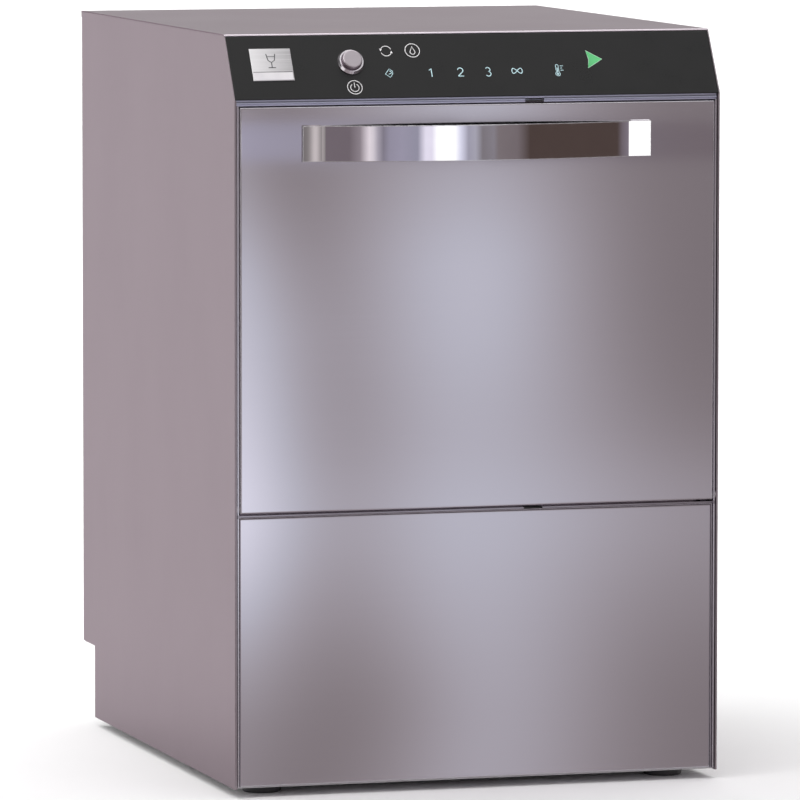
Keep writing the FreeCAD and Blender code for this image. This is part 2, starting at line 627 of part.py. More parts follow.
def tub_wrap():
    """Side walls and ceiling of the chamber, one bent sheet."""
    y = (FRAME_Y + FRAME_SHEET, TUB_BACK)
    wall = TUB_HALF + TUB_SHEET
    outer = box((-wall, wall), y, (TUB_FLOOR - TUB_SHEET, TUB_CEILING + TUB_SHEET))
    inner = box((-TUB_HALF, TUB_HALF), (y[0] - 5, y[1] + 5), (TUB_FLOOR - 20, TUB_CEILING))
    bend = lambda e: along(e, Y_AXIS) and e.CenterOfMass.z > TUB_CEILING - 1
    outer = rounded(outer, 13, bend)
    inner = rounded(inner, 12, bend)
    spindle = rod((0, ARM_Y, TUB_CEILING - 5), Z_AXIS, SPINDLE_RADIUS + 2.5, 15)
    return without(outer, [inner, spindle])


def tub_back():
    wall = TUB_HALF + TUB_SHEET
    sheet = box((-wall, wall), (TUB_BACK, TUB_BACK + TUB_SHEET),
                (TUB_FLOOR - TUB_SHEET, TUB_CEILING + TUB_SHEET))
    probe = rod((150, TUB_BACK - 5, 262), Y_AXIS, 4, 10)
    return rounded(sheet, 13, lambda e: along(e, Y_AXIS) and e.CenterOfMass.z > TUB_CEILING).cut(probe)


def tub_floor():
    """Floor of the chamber with the water tank pressed into it."""
    wall = TUB_HALF
    y = (FRAME_Y + FRAME_SHEET, TUB_BACK)
    floor = box((-wall, wall), y, (TUB_FLOOR - TUB_SHEET, TUB_FLOOR))
    outside = box((-WELL_HALF - TUB_SHEET, WELL_HALF + TUB_SHEET),
                  (WELL_Y[0] - TUB_SHEET, WELL_Y[1] + TUB_SHEET), (WELL_FLOOR - TUB_SHEET, TUB_FLOOR))
    outside = rounded(outside, 25, lambda e: along(e, Z_AXIS))
    outside = rounded(outside, 10, lambda e: e.CenterOfMass.z < WELL_FLOOR - TUB_SHEET + 0.01)
    inside = box((-WELL_HALF, WELL_HALF), WELL_Y, (WELL_FLOOR, TUB_FLOOR + 5))
    inside = rounded(inside, 24, lambda e: along(e, Z_AXIS))
    inside = rounded(inside, 9, lambda e: e.CenterOfMass.z < WELL_FLOOR + 0.01)
    outlets = [
        rod((*PUMP_OUTLET, WELL_FLOOR - 5), Z_AXIS, 11.5, 12),
        rod((*OVERFLOW, WELL_FLOOR - 5), Z_AXIS, 9, 12),
        rod((0, ARM_Y, WELL_FLOOR - 5), Z_AXIS, SPINDLE_RADIUS + 4, 12),
        rod((TANK_HEATER_X[0], WELL_Y[0] - 5, TANK_HEATER_Z), Y_AXIS, 4.2, 10),
        rod((TANK_HEATER_X[1], WELL_Y[0] - 5, TANK_HEATER_Z), Y_AXIS, 4.2, 10),
    ]
    return without(joined([floor, outside]), [inside] + outlets)


def tank_filter():
    """Perforated steel tray over the tank, which keeps lemon slices out of the pump."""
    z = (TUB_FLOOR, TUB_FLOOR + 1.0)
    tray = box((-152, 152), (WELL_Y[0] - 12, WELL_Y[1] + 12), z)
    tray = rounded(tray, 26, lambda e: along(e, Z_AXIS))
    openings = [(0, ARM_Y, 17), (*PUMP_OUTLET, 30.3), (*OVERFLOW, 14)]
    cells, pitch, hole, margin = 8, 15.0, 4.0, 10.0
    places = [(i * pitch, ARM_Y + j * pitch) for i in range(-cells, cells + 1)
              for j in range(-cells, cells + 1)]
    free = [(x, y) for x, y in places
            if all(math.hypot(x - a, y - b) > radius + margin for a, b, radius in openings)]
    cutters = [rod((x, y, z[0] - 1), Z_AXIS, hole, 6) for x, y in free]
    cutters += [rod((x, y, z[0] - 1), Z_AXIS, radius, 6) for x, y, radius in openings]
    return without(tray, cutters)


def filter_cup():
    """Removable fine strainer that hangs in the tray filter, with a bail across its rim."""
    x, y = PUMP_OUTLET
    low, high = WELL_FLOOR + 16, TUB_FLOOR + 3
    rim = tube((x, y, TUB_FLOOR + 1), Z_AXIS, 34, 26, 2)
    wall = tube((x, y, low), Z_AXIS, 30, 28.8, high - low)
    floor = rod((x, y, low), Z_AXIS, 30, 1.2)
    bail = box((x - 31, x + 31), (y - 1.5, y + 1.5), (high - 0.5, high + 1.5))
    return joined([rim, wall, floor, bail])


def overflow_pipe():
    """Standpipe that sets the water level and lifts out to drain the tank."""
    base, stem_height = WELL_FLOOR, 61.0
    x, y = OVERFLOW
    stem = tube((x, y, base), Z_AXIS, 11, 9, stem_height)
    seal = tube((x, y, base), Z_AXIS, 13.5, 9, 5)
    cap = rounded(rod((x, y, base + stem_height), Z_AXIS, 13, 6), 2,
                  lambda e: e.CenterOfMass.z > base + stem_height + 5)
    ports_z = (base + stem_height - 14, base + stem_height - 4)
    ports = [box((x - 2, x + 2), (y - 20, y + 20), ports_z), box((x - 20, x + 20), (y - 2, y + 2), ports_z)]
    return joined([without(joined([stem, seal]), ports), cap])


def tank_heater():
    """Bent tubular element in the tank, with its terminals through the tank's front wall."""
    z = TANK_HEATER_Z
    left, right = TANK_HEATER_X
    start = WELL_Y[0] - 22
    loop = pipe([(right, start, z), (right, 300, z), (left, 300, z), (left, start, z)], 14.9, 4.0, 2.6)
    flange = box((left - 10, right + 10), (WELL_Y[0] - 6, WELL_Y[0] - TUB_SHEET), (z - 9, z + 9))
    bores = [rod((x, WELL_Y[0] - 30, z), Y_AXIS, 3.9, 60) for x in TANK_HEATER_X]
    return joined([loop, without(flange, bores)])


def rack_guides():
    """Angle runners on the chamber's side walls."""
    y = (40.0, 470.0)
    top = RACK_BOTTOM - 0.2
    shelf = box((190, TUB_HALF), y, (top - 1.6, top))
    wall = box((TUB_HALF - 1.6, TUB_HALF), y, (top - 1.6, top + 21))
    guide = joined([shelf, wall])
    guide = rounded(guide, 6, lambda e: along(e, X_AXIS) and e.CenterOfMass.z > top + 20.9)
    return Part.makeCompound(both_sides(guide))


def wash_arm(z):
    """Two-bladed hollow arm with slanted jets, on a hub that turns on the spindle."""
    depth = 11.0
    half = 15.0
    blade = box((-WASH_ARM_REACH, WASH_ARM_REACH), (-half, half), (z, z + depth))
    blade = rounded(blade, 14.5, lambda e: along(e, Z_AXIS))
    blade = rounded(blade, 3.2, lambda e: e.CenterOfMass.z > z + depth - 0.01)
    blade = rounded(blade, 2.2, lambda e: e.CenterOfMass.z < z + 0.01)
    hub = rod((0, 0, z - 4), Z_AXIS, 21, depth + 7)
    hub = rounded(hub, 2, lambda e: e.Closed)
    bore = rod((0, 0, z - 10), Z_AXIS, SPINDLE_RADIUS + RUNNING, 40)
    chamber = box((-WASH_ARM_REACH + 3, -12), (-half + 4, half - 4), (z + 2, z + depth - 2))
    jets = []
    for k, reach in enumerate((52, 88, 124, 160)):
        for side in (-1, 1):
            offset = 5.0 if (k + (side > 0)) % 2 else -5.0
            jets.append(box((side * reach - 1.6, side * reach + 1.6), (offset - 6, offset + 6),
                            (z + depth - 4, z + depth + 2)))
    cutters = [bore, chamber, mirrored(chamber)] + jets
    return without(joined([blade, hub]), cutters)


def rinse_arm(z):
    """Slim tube with small rinse jets, on its own hub."""
    radius = 5.5
    bar = rod((-RINSE_ARM_REACH, 0, z), X_AXIS, radius, 2 * RINSE_ARM_REACH)
    bar = rounded(bar, 2.5, lambda e: e.Closed)
    hub = rounded(rod((0, 0, z - 6), Z_AXIS, 15, 12), 1.5, lambda e: e.Closed)
    passages = [rod((side * (RINSE_ARM_REACH - 3), 0, z), X_AXIS * -side, radius - 1.5, RINSE_ARM_REACH - 20)
                for side in (-1, 1)]
    jets = [rod((side * reach, 0, z), Z_AXIS, 1.2, 10) for side in (-1, 1) for reach in (50, 80, 110, 140)]
    bore = rod((0, 0, z - 10), Z_AXIS, SPINDLE_RADIUS + RUNNING, 20)
    return without(joined([bar, hub]), passages + jets + [bore])


def turned(shape, degrees):
    """An arm turned about the spray axis and moved onto it."""
    shape.rotate(V(0, 0, 0), Z_AXIS, degrees)
    shape.translate(V(0, ARM_Y, 0))
    return shape


def upside_down(shape, about_z):
    return shape.mirror(V(0, 0, about_z), Z_AXIS)


RINSE_FEED_Z = TUB_CEILING + 12
LOWER_ARM_Z = 243.5
LOWER_RINSE_Z = 264.5
SPINDLE_MIDDLE = (TUB_FLOOR + 1 + TUB_CEILING) / 2    # the upper arms mirror the lower ones about here


def lower_spindle():
    """Fixed water post: a flange over the filter and a stem that both lower arms turn on."""
    z = TUB_FLOOR + 1
    stem = rod((0, ARM_Y, z + 1), Z_AXIS, SPINDLE_RADIUS, 39.4)
    flange = rod((0, ARM_Y, z), Z_AXIS, 21, 3)
    skirt = rod((0, ARM_Y, z - 6), Z_AXIS, 15, 6)
    socket = rod((0, ARM_Y, WELL_FLOOR - 14), Z_AXIS, 11.5, z - WELL_FLOOR + 9)
    passage = rod((0, ARM_Y, WELL_FLOOR - 20), Z_AXIS, 5, z - WELL_FLOOR + 50)
    ports = [rod((-20, ARM_Y, LOWER_ARM_Z + 5), X_AXIS, 2.5, 40), rod((-20, ARM_Y, LOWER_RINSE_Z), X_AXIS, 2, 40)]
    return without(joined([stem, flange, skirt, socket]), [passage] + ports)


def upper_spindle():
    z = TUB_CEILING
    stem = rod((0, ARM_Y, z), -Z_AXIS, SPINDLE_RADIUS, 40.4)
    flange = rod((0, ARM_Y, z), -Z_AXIS, 21, 3)
    neck = rod((0, ARM_Y, z), Z_AXIS, SPINDLE_RADIUS + 2, 26)
    passage = rod((0, ARM_Y, z - 37), Z_AXIS, 5, 80)
    side_port = rod((-20, ARM_Y, RINSE_FEED_Z), X_AXIS, 3.5, 20)
    lower = upside_down(rod((-20, ARM_Y, LOWER_ARM_Z + 5), X_AXIS, 2.5, 40), SPINDLE_MIDDLE)
    rinse = upside_down(rod((-20, ARM_Y, LOWER_RINSE_Z), X_AXIS, 2, 40), SPINDLE_MIDDLE)
    return without(joined([stem, flange, neck]), [passage, side_port, lower, rinse])


def arm_retaining_caps():
    """Knurled caps that keep the arms on their spindles."""
    z = TUB_FLOOR + 1 + 40.4
    cap = rounded(rod((0, ARM_Y, z), Z_AXIS, 12, 5), 1.5, lambda e: e.CenterOfMass.z > z + 4.9)
    grips = []
    for k in range(12):
        angle = math.radians(30 * k)
        place = (12.6 * math.cos(angle), ARM_Y + 12.6 * math.sin(angle), z - 1)
        grips.append(rod(place, Z_AXIS, 1.6, 8))
    cap = without(cap, grips)
    return Part.makeCompound([cap, upside_down(cap, SPINDLE_MIDDLE)])


# ---- glass rack ---------------------------------------------------------------------------------
def rack_floor():
    """Open grid on the rack's underside, drawn with its lowest face at z = 0."""
    plate = box((-RACK_HALF, RACK_HALF), RACK_Y, (0, RACK_FLOOR))
    plate = rounded(plate, 8, lambda e: along(e, Z_AXIS))
    cells, rim, rib = 8, 14.0, 7.0
    pitch = (2 * RACK_HALF - 2 * rim + rib) / cells
    holes = []
    for i in range(cells):
        for j in range(cells):
            x = -RACK_HALF + rim + i * pitch
            y = RACK_Y[0] + rim + j * pitch
            holes.append(box((x, x + pitch - rib), (y, y + pitch - rib), (-1, RACK_FLOOR + 1)))
    return without(plate, holes)


def rack_wall():
    """One side of the rack from x = 0, with two rows of windows, a top bead and mitred ends."""
    length = 2 * RACK_HALF
    count, post, end, mitre = 8, 7.0, 12.0, 8.0
    pitch = (length - 2 * end + post) / count
    rows = ((14.0, 48.0), (56.0, 92.0))
    windows = [box((end + k * pitch, end + (k + 1) * pitch - post), (-5, 10), row)
               for k in range(count) for row in rows]
    sheet = box((0, length), (0, RACK_WALL), (0, RACK_WALL_HEIGHT))
    bead = box((0, length), (0, 2 * RACK_WALL), (RACK_WALL_HEIGHT - 8, RACK_WALL_HEIGHT))
    near = prism([(0, 0, -1), (mitre, mitre, -1), (0, mitre, -1)], Z_AXIS * 200)
    far = prism([(length, 0, -1), (length, mitre, -1), (length - mitre, mitre, -1)], Z_AXIS * 200)
    return without(joined([sheet, bead]), windows + [near, far])


def glass_rack():
    """Moulded 400 x 400 mm rack: a grid floor and four windowed walls that meet at mitred corners."""
    middle = V(0, (RACK_Y[0] + RACK_Y[1]) / 2, 0)
    outline = box((-RACK_HALF, RACK_HALF), RACK_Y, (0, RACK_FLOOR + RACK_WALL_HEIGHT))
    outline = rounded(outline, 5, lambda e: along(e, Z_AXIS))
    pieces = [rack_floor()]
    for quarter in range(4):
        side = rack_wall()
        side.translate(V(-RACK_HALF, RACK_Y[0], RACK_FLOOR))
        side.rotate(middle, Z_AXIS, 90 * quarter)
        pieces.append(side.common(outline))
    rack = Part.makeCompound(pieces)
    rack.translate(V(0, 0, RACK_BOTTOM))
    return rack


# ---- water and power under the chamber ----------------------------------------------------------
PUMP_Y = 200.0
PUMP_Z = 78.0
VOLUTE_X = (-92.0, -56.0)
DELIVERY = (-74.0, 232.0)
DELIVERY_TOP = 138.0
MANIFOLD_Z = 149.0


def pump_volute():
    """Pump casing: suction from the tank's outlet in front, delivery out of the top."""
    x0, x1 = VOLUTE_X
    shell = rod((x0, PUMP_Y, PUMP_Z), X_AXIS, 50, x1 - x0)
    suction = rod((x0 - 22, PUMP_Y, PUMP_Z), X_AXIS, 17, 24)
    delivery = rod((*DELIVERY, PUMP_Z), Z_AXIS, 12, DELIVERY_TOP - PUMP_Z)
    cavity = rod((x0 + 4, PUMP_Y, PUMP_Z), X_AXIS, 43, x1 - x0 - 8)
    eye = rod((x0 - 30, PUMP_Y, PUMP_Z), X_AXIS, 13.5, 40)
    throat = rod((*DELIVERY, PUMP_Z), Z_AXIS, 9.5, 80)
    shaft = rod((x1 - 10, PUMP_Y, PUMP_Z), X_AXIS, 7.2, 20)
    return without(joined([shell, suction, delivery]), [cavity, eye, throat, shaft])


def pump_manifold():
    """Moulded tee from the pump's outlet to the lower spindle and the riser hose."""
    z = MANIFOLD_Z
    outlet = V(*DELIVERY, z)
    spindle = V(0, ARM_Y, z)
    run = spindle - outlet
    collar = rod((*DELIVERY, DELIVERY_TOP - 12), Z_AXIS, 15, z + 12 - DELIVERY_TOP + 12)
    arm = Part.makeCylinder(10, run.Length, outlet, run)
    cup = rod((0, ARM_Y, z - 12), Z_AXIS, 15, 28)
    tail = rod((0, ARM_Y, z), Y_AXIS, 9, 60)
    bores = [
        rod((*DELIVERY, DELIVERY_TOP - 20), Z_AXIS, 12, 20),
        rod((*DELIVERY, DELIVERY_TOP - 1), Z_AXIS, 8.5, z - DELIVERY_TOP + 10),
        Part.makeCylinder(6.8, run.Length, outlet, run),
        rod((0, ARM_Y, z - 9), Z_AXIS, 7.6, 20),
        rod((0, ARM_Y, WELL_FLOOR - 14), Z_AXIS, 11.5, 30),
        rod((0, ARM_Y, z), Y_AXIS, 6.2, 80),
    ]
    return without(joined([collar, arm, cup, tail]), bores)


def pump_rotor():
    """Impeller on the motor shaft."""
    x0 = VOLUTE_X[0]
    disc = rod((x0 + 22, PUMP_Y, PUMP_Z), X_AXIS, 38, 4)
    vanes = []
    for k in range(6):
        vane = box((x0 + 8, x0 + 22), (14, 37), (-1.5, 1.5))
        vane.rotate(V(0, 0, 0), X_AXIS, 60 * k)
        vane.translate(V(0, PUMP_Y, PUMP_Z))
        vanes.append(vane)
    hub = rod((x0 + 8, PUMP_Y, PUMP_Z), X_AXIS, 12, 16)
    shaft = rod((x0 + 20, PUMP_Y, PUMP_Z), X_AXIS, 7, 60)
    return joined([disc, hub, shaft] + [v.common(rod((x0, PUMP_Y, PUMP_Z), X_AXIS, 37, 60)) for v in vanes])


def pump_motor():
    """Finned motor with its terminal box and a foot bracket on the base."""
    x0 = VOLUTE_X[1]
    length = 128.0
    body = rod((x0 + 8, PUMP_Y, PUMP_Z), X_AXIS, 46, length)
    flange = rod((x0, PUMP_Y, PUMP_Z), X_AXIS, 50, 8)
    bell = rod((x0 + 8 + length, PUMP_Y, PUMP_Z), X_AXIS, 40, 14)
    fins = []
    for k in range(24):
        fin = box((x0 + 20, x0 + length - 4), (44, 50), (-1.2, 1.2))
        fin.rotate(V(0, 0, 0), X_AXIS, 15 * k)
        fin.translate(V(0, PUMP_Y, PUMP_Z))
        fins.append(fin)
    terminal_box = box((x0 + 40, x0 + 90), (PUMP_Y - 22, PUMP_Y + 22), (PUMP_Z + 40, PUMP_Z + 66))
    bracket = box((x0 + 30, x0 + 110), (PUMP_Y - 34, PUMP_Y + 34), (1.5, PUMP_Z - 30))
    bore = rod((x0 - 5, PUMP_Y, PUMP_Z), X_AXIS, 7.2, 60)
    return joined([body, flange, bell, terminal_box, bracket] + fins).cut(bore)


BOILER_Y = 400.0
BOILER_Z = 76.0
BOILER_PORTS = (-140.0, -60.0)
BOILER_PORT_TOP = 146.0


def rinse_boiler():
    """Horizontal pressure vessel that heats the rinse water."""
    x0, x1 = -170.0, 110.0
    outer = rounded(rod((x0, BOILER_Y, BOILER_Z), X_AXIS, 62, x1 - x0), 14, lambda e: e.Closed)
    inner = rounded(rod((x0 + 2, BOILER_Y, BOILER_Z), X_AXIS, 60, x1 - x0 - 4), 12, lambda e: e.Closed)
    nipples = [rod((x, BOILER_Y, BOILER_Z + 58), Z_AXIS, 6, BOILER_PORT_TOP - BOILER_Z - 58)
               for x in BOILER_PORTS]
    bores = [rod((x, BOILER_Y, BOILER_Z + 50), Z_AXIS, 4, 25) for x in BOILER_PORTS]
    cradles = [box((x, x + 12), (BOILER_Y - 44, BOILER_Y + 44), (1.5, BOILER_Z - 30)) for x in (-140, 60)]
    cradles = [c.cut(rod((x0 - 5, BOILER_Y, BOILER_Z), X_AXIS, 62, x1 - x0 + 10)) for c in cradles]
    heater_hole = rod((x1 - 10, BOILER_Y, BOILER_Z), X_AXIS, 24, 20)
    return without(joined([outer, *nipples, *cradles]), [inner, heater_hole] + bores)


def boiler_heater():
    """Flanged immersion element of the boiler."""
    x1 = 110.0
    flange = hexagon((x1, BOILER_Y, BOILER_Z), X_AXIS, 34, 8)
    plug = rod((x1 - 12, BOILER_Y, BOILER_Z), X_AXIS, 23.8, 12)
    loop = pipe([(x1 - 12, BOILER_Y - 12, BOILER_Z), (-120, BOILER_Y - 12, BOILER_Z),
                 (-120, BOILER_Y + 12, BOILER_Z), (x1 - 12, BOILER_Y + 12, BOILER_Z)], 11.9, 4.2, 2.8)
    terminals = [rod((x1 + 8, BOILER_Y + dy, BOILER_Z), X_AXIS, 3, 12) for dy in (-12, 12)]
    return joined([flange, plug, loop] + terminals)


def drain_pump():
    """Small synchronous drain pump beside the tank outlet."""
    body = rod((128, 300, 60), X_AXIS, 32, 30)
    coil = box((158, 206), (274, 326), (34, 86))
    inlet = rod((143, 300, 85), Z_AXIS, 12, 28)
    outlet = rod((143, 325, 44), Y_AXIS, 10, 24)
    feet = box((134, 200), (278, 322), (1.5, 40))
    bores = [rod((143, 300, 62), Z_AXIS, 8.5, 60), rod((143, 322, 44), Y_AXIS, 7, 40)]
    return without(joined([body, coil, inlet, outlet, feet]), bores)


def dosing_pumps():
    """Peristaltic dosers for detergent and rinse aid, behind the lower panel."""
    pumps = []
    for x in (-205.0, -150.0):
        case = box((x, x + 44), (60, 104), (110, 162))
        case = rounded(case, 4, lambda e: along(e, Y_AXIS))
        head = rod((x + 22, 40, 136), Y_AXIS, 20, 20)
        nipples = [rod((x + 22 + dx, 48, 152), Z_AXIS, 2.5, 20) for dx in (-10, 10)]
        bracket = box((x + 4, x + 40), (80, 84), (1.5, 110))
        pumps.append(joined([case, head, bracket] + nipples))
    return Part.makeCompound(pumps)


def inlet_valve():
    """Solenoid valve whose threaded inlet stands in the rear recess."""
    y = RECESS_FACE
    thread = rod((INLET_X, y, INLET_Z), Y_AXIS, INLET_THREAD_RADIUS, 14)
    thread = thread.makeChamfer(1.0, [e for e in thread.Edges if e.Closed and e.CenterOfMass.y > y + 13])
    neck = rod((INLET_X, y - 14, INLET_Z), Y_AXIS, 12.5, 14)
    collar = rod((INLET_X, y - 1 - 4, INLET_Z), Y_AXIS, 17, 4)
    valve = box((INLET_X - 20, INLET_X + 20), (y - 38, y - 12), (INLET_Z - 18, INLET_Z + 14))
    coil = rod((INLET_X, y - 25, INLET_Z + 14), Z_AXIS, 12, 26)
    outlet = rod((INLET_X - 19, y - 25, INLET_Z), -X_AXIS, 6, 16)
    bore = rod((INLET_X, y - 30, INLET_Z), Y_AXIS, 7.5, 60)
    bore_out = rod((INLET_X, y - 25, INLET_Z), -X_AXIS, 4, 50)
    return without(joined([thread, neck, collar, valve, coil, outlet]), [bore, bore_out])


def drain_spigot():
    """Plain hose tail of the drain, nutted through the recess panel."""
    y = RECESS_FACE
    tail = rod((DRAIN_X, y - 20, DRAIN_Z), Y_AXIS, DRAIN_RADIUS, 56)
    collar = rod((DRAIN_X, y, DRAIN_Z), Y_AXIS, 16, 3)
    nut = hexagon((DRAIN_X, y - 7, DRAIN_Z), Y_AXIS, 18, 6)
    taper = Part.makeCone(DRAIN_RADIUS, DRAIN_RADIUS - 1.2, 4, V(DRAIN_X, y + 36, DRAIN_Z), Y_AXIS)
    bore = rod((DRAIN_X, y - 30, DRAIN_Z), Y_AXIS, DRAIN_RADIUS - 2.5, 80)
    return joined([tail, collar, nut, taper]).cut(bore)


def cable_gland():
    """Screwed gland for the mains lead."""
    y = RECESS_FACE
    barrel = rod((GLAND_X, y - 12, GLAND_Z), Y_AXIS, 10, 12)
    body = hexagon((GLAND_X, y, GLAND_Z), Y_AXIS, 13.5, 6)
    dome = rounded(rod((GLAND_X, y + 6, GLAND_Z), Y_AXIS, 11.2, 12), 3, lambda e: e.CenterOfMass.y > y + 17)
    nut = hexagon((GLAND_X, y - 6, GLAND_Z), Y_AXIS, 13.5, 5)
    bore = rod((GLAND_X, y - 20, GLAND_Z), Y_AXIS, CABLE_RADIUS, 50)
    return joined([barrel, body, dome, nut]).cut(bore)


def terminal_block():
    """Mains terminals and the contactor on their mounting plate."""
    plate = box((222, 224), (120, 260), (1.5, 210))
    contactor = box((178, 222), (132, 180), (120, 196))
    coil_cover = box((172, 178), (140, 172), (132, 184))
    rail = box((218, 222), (124, 256), (96, 110))
    terminals = [box((200, 222), (194 + 11 * k, 204 + 11 * k), (60, 96)) for k in range(5)]
    return joined([plate, contactor, coil_cover, rail] + terminals)


def pump_hoses():
    """Tank to pump, pump to the upper spindle, overflow to drain pump, and drain pump to spigot."""
    pump_end = VOLUTE_X[0] - 22
    under_tank = WELL_FLOOR - TUB_SHEET
    suction = pipe([(*PUMP_OUTLET, under_tank), (*PUMP_OUTLET, 148), (pump_end - 20, PUMP_Y, 148),
                    (pump_end - 20, PUMP_Y, PUMP_Z), (pump_end, PUMP_Y, PUMP_Z)], 14.5, 14, 11.5)
    high, back = 650.0, 494.0
    riser = pipe([(0, ARM_Y + 60, MANIFOLD_Z), (0, back, MANIFOLD_Z), (0, back, high), (0, ARM_Y, high),
                  (0, ARM_Y, TUB_CEILING + 26)], 15, 9, 6.5)
    overflow = pipe([(*OVERFLOW, under_tank), (*OVERFLOW, 140), (143, 300, 140), (143, 300, 113)], 12.6, 12, 9)
    drain = pipe([(143, 349, 44), (143, 469, 44), (DRAIN_X, 469, DRAIN_Z),
                  (DRAIN_X, RECESS_FACE - 20, DRAIN_Z)], 10.8, 10, 7.5)
    return Part.makeCompound([suction, riser, overflow, drain])


def rinse_hoses():
    """Cold water from the valve to the boiler, and hot water up to the upper spindle."""
    cold_in, hot_out = BOILER_PORTS
    valve_y = RECESS_FACE - 25
    over = BOILER_PORT_TOP + 10
    back = 496.0
    cold = pipe([(INLET_X - 35, valve_y, INLET_Z), (-190, valve_y, INLET_Z), (-190, valve_y, over),
                 (-190, BOILER_Y, over), (cold_in, BOILER_Y, over), (cold_in, BOILER_Y, BOILER_PORT_TOP)],
                8, 6, 4)
    hot = pipe([(hot_out, BOILER_Y, BOILER_PORT_TOP), (hot_out, BOILER_Y, over), (hot_out, back, over),
                (hot_out, back, RINSE_FEED_Z), (hot_out, ARM_Y, RINSE_FEED_Z),
                (-SPINDLE_RADIUS - 2, ARM_Y, RINSE_FEED_Z)], 8, 6, 4)
    return Part.makeCompound([cold, hot])


NODES = {
    "right_side_panel": side_panel,
    "left_side_panel": lambda: mirrored(side_panel()),
    "top_panel": top_panel,
    "rear_panel": rear_panel,
    "panel_screws": panel_screws,
    "service_recess_panel": service_recess_panel,
    "base_tray": base_tray,
    "front_frame": front_frame,
    "lower_front_panel": lower_front_panel,
    "control_bracket": control_bracket,
    "control_fascia": control_fascia,
    "nameplate": nameplate,
    "power_button_housing": power_button_housing,
    "power_button_cap": power_button_cap,
    "power_button_nut": power_button_nut,
    "control_board": control_board,
    "door_switch": door_switch,
    "door_skin": door_skin,
    "door_liner": door_liner,
    "door_handle": door_handle,
    "handle_nuts": handle_nuts,
    "hinge_arms": hinge_arms,
    "hinge_pins": hinge_pins,
    "door_springs": door_springs,
    "door_magnet": door_magnet,
    "tub_gasket": tub_gasket,
    "tub_wrap": tub_wrap,
    "tub_back": tub_back,
    "tub_floor": tub_floor,
    "tank_filter": tank_filter,
    "filter_cup": filter_cup,
    "overflow_pipe": overflow_pipe,
    "tank_heater": tank_heater,
    "rack_guides": rack_guides,
    "lower_spindle": lower_spindle,
    "upper_spindle": upper_spindle,
    "arm_retaining_caps": arm_retaining_caps,
    "lower_wash_arm": lambda: turned(wash_arm(LOWER_ARM_Z), 28),
    "lower_rinse_arm": lambda: turned(rinse_arm(LOWER_RINSE_Z), 118),
    "upper_wash_arm": lambda: upside_down(turned(wash_arm(LOWER_ARM_Z), -20), SPINDLE_MIDDLE),
    "upper_rinse_arm": lambda: upside_down(turned(rinse_arm(LOWER_RINSE_Z), 70), SPINDLE_MIDDLE),
    "glass_rack": glass_rack,
    "pump_volute": pump_volute,
    "pump_manifold": pump_manifold,
    "pump_rotor": pump_rotor,
    "pump_motor": pump_motor,
    "rinse_boiler": rinse_boiler,
    "boiler_heater": boiler_heater,
    "drain_pump": drain_pump,
    "dosing_pumps": dosing_pumps,
    "inlet_valve": inlet_valve,
    "drain_spigot": drain_spigot,
    "cable_gland": cable_gland,
    "terminal_block": terminal_block,
    "pump_hoses": pump_hoses,
    "rinse_hoses": rinse_hoses,
}
for foot_name, (foot_x, foot_y) in foot_places().items():
    NODES[foot_name] = lambda x=foot_x, y=foot_y: foot(x, y)


def save(name, shape):
    placed = shape.copy()
    placed.translate(TO_FRAME)
    solids = placed.Solids
    problems = [s for s in solids if not s.isValid() or s.Volume <= 0]
    if not solids or problems:
        raise ValueError(f"{name} has {len(solids)} solids and {len(problems)} of them are not sound")
    whole = solids[0] if len(solids) == 1 else Part.makeCompound(solids)
    whole.exportStep(f"parts/{name}.step")


def main():
    os.makedirs("parts", exist_ok=True)
    for name, build in NODES.items():
        save(name, build())


main()
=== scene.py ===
import json
import math

import bpy
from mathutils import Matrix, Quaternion, Vector


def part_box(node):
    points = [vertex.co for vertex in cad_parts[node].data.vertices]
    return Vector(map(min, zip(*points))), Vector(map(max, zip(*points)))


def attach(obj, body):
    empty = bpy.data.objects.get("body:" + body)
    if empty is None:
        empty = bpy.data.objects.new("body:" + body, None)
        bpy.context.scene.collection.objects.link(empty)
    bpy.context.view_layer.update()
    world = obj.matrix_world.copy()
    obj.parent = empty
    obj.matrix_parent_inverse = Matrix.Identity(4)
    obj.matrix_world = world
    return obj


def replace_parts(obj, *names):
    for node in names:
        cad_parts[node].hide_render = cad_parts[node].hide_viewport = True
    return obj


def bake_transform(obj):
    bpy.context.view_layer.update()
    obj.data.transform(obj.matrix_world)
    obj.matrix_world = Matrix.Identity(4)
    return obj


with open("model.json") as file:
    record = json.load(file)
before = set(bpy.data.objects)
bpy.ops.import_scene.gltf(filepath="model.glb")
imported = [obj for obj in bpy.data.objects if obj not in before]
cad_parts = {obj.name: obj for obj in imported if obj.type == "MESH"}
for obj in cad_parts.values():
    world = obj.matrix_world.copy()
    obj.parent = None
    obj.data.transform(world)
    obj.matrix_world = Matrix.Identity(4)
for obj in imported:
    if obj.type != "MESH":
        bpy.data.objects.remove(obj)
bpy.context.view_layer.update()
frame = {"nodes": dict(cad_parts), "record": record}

# ---- where the cabinet stands in the row frame ---------------------------------------------------
FRONT_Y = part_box("door_skin")[0][1]
UNDERSIDE_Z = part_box("left_side_panel")[0][2]
SLOPE_BOTTOM = 622.0
SLOPE_SETBACK = 35.0
SLOPE_RISE = 58.0
SLOPE_LENGTH = math.hypot(SLOPE_SETBACK, SLOPE_RISE)


def place(x, y, z):
    """A point in cabinet millimetres, in the row frame."""
    return Vector((x * 0.001, FRONT_Y + y * 0.001, UNDERSIDE_Z + z * 0.001))


def on_slope(x, up, out):
    """A point on the sloping control face: across, up the slope and out of it, in millimetres."""
    y = (SLOPE_SETBACK * up - SLOPE_RISE * out) / SLOPE_LENGTH
    z = SLOPE_BOTTOM + (SLOPE_RISE * up + SLOPE_SETBACK * out) / SLOPE_LENGTH
    return place(x, y, z)


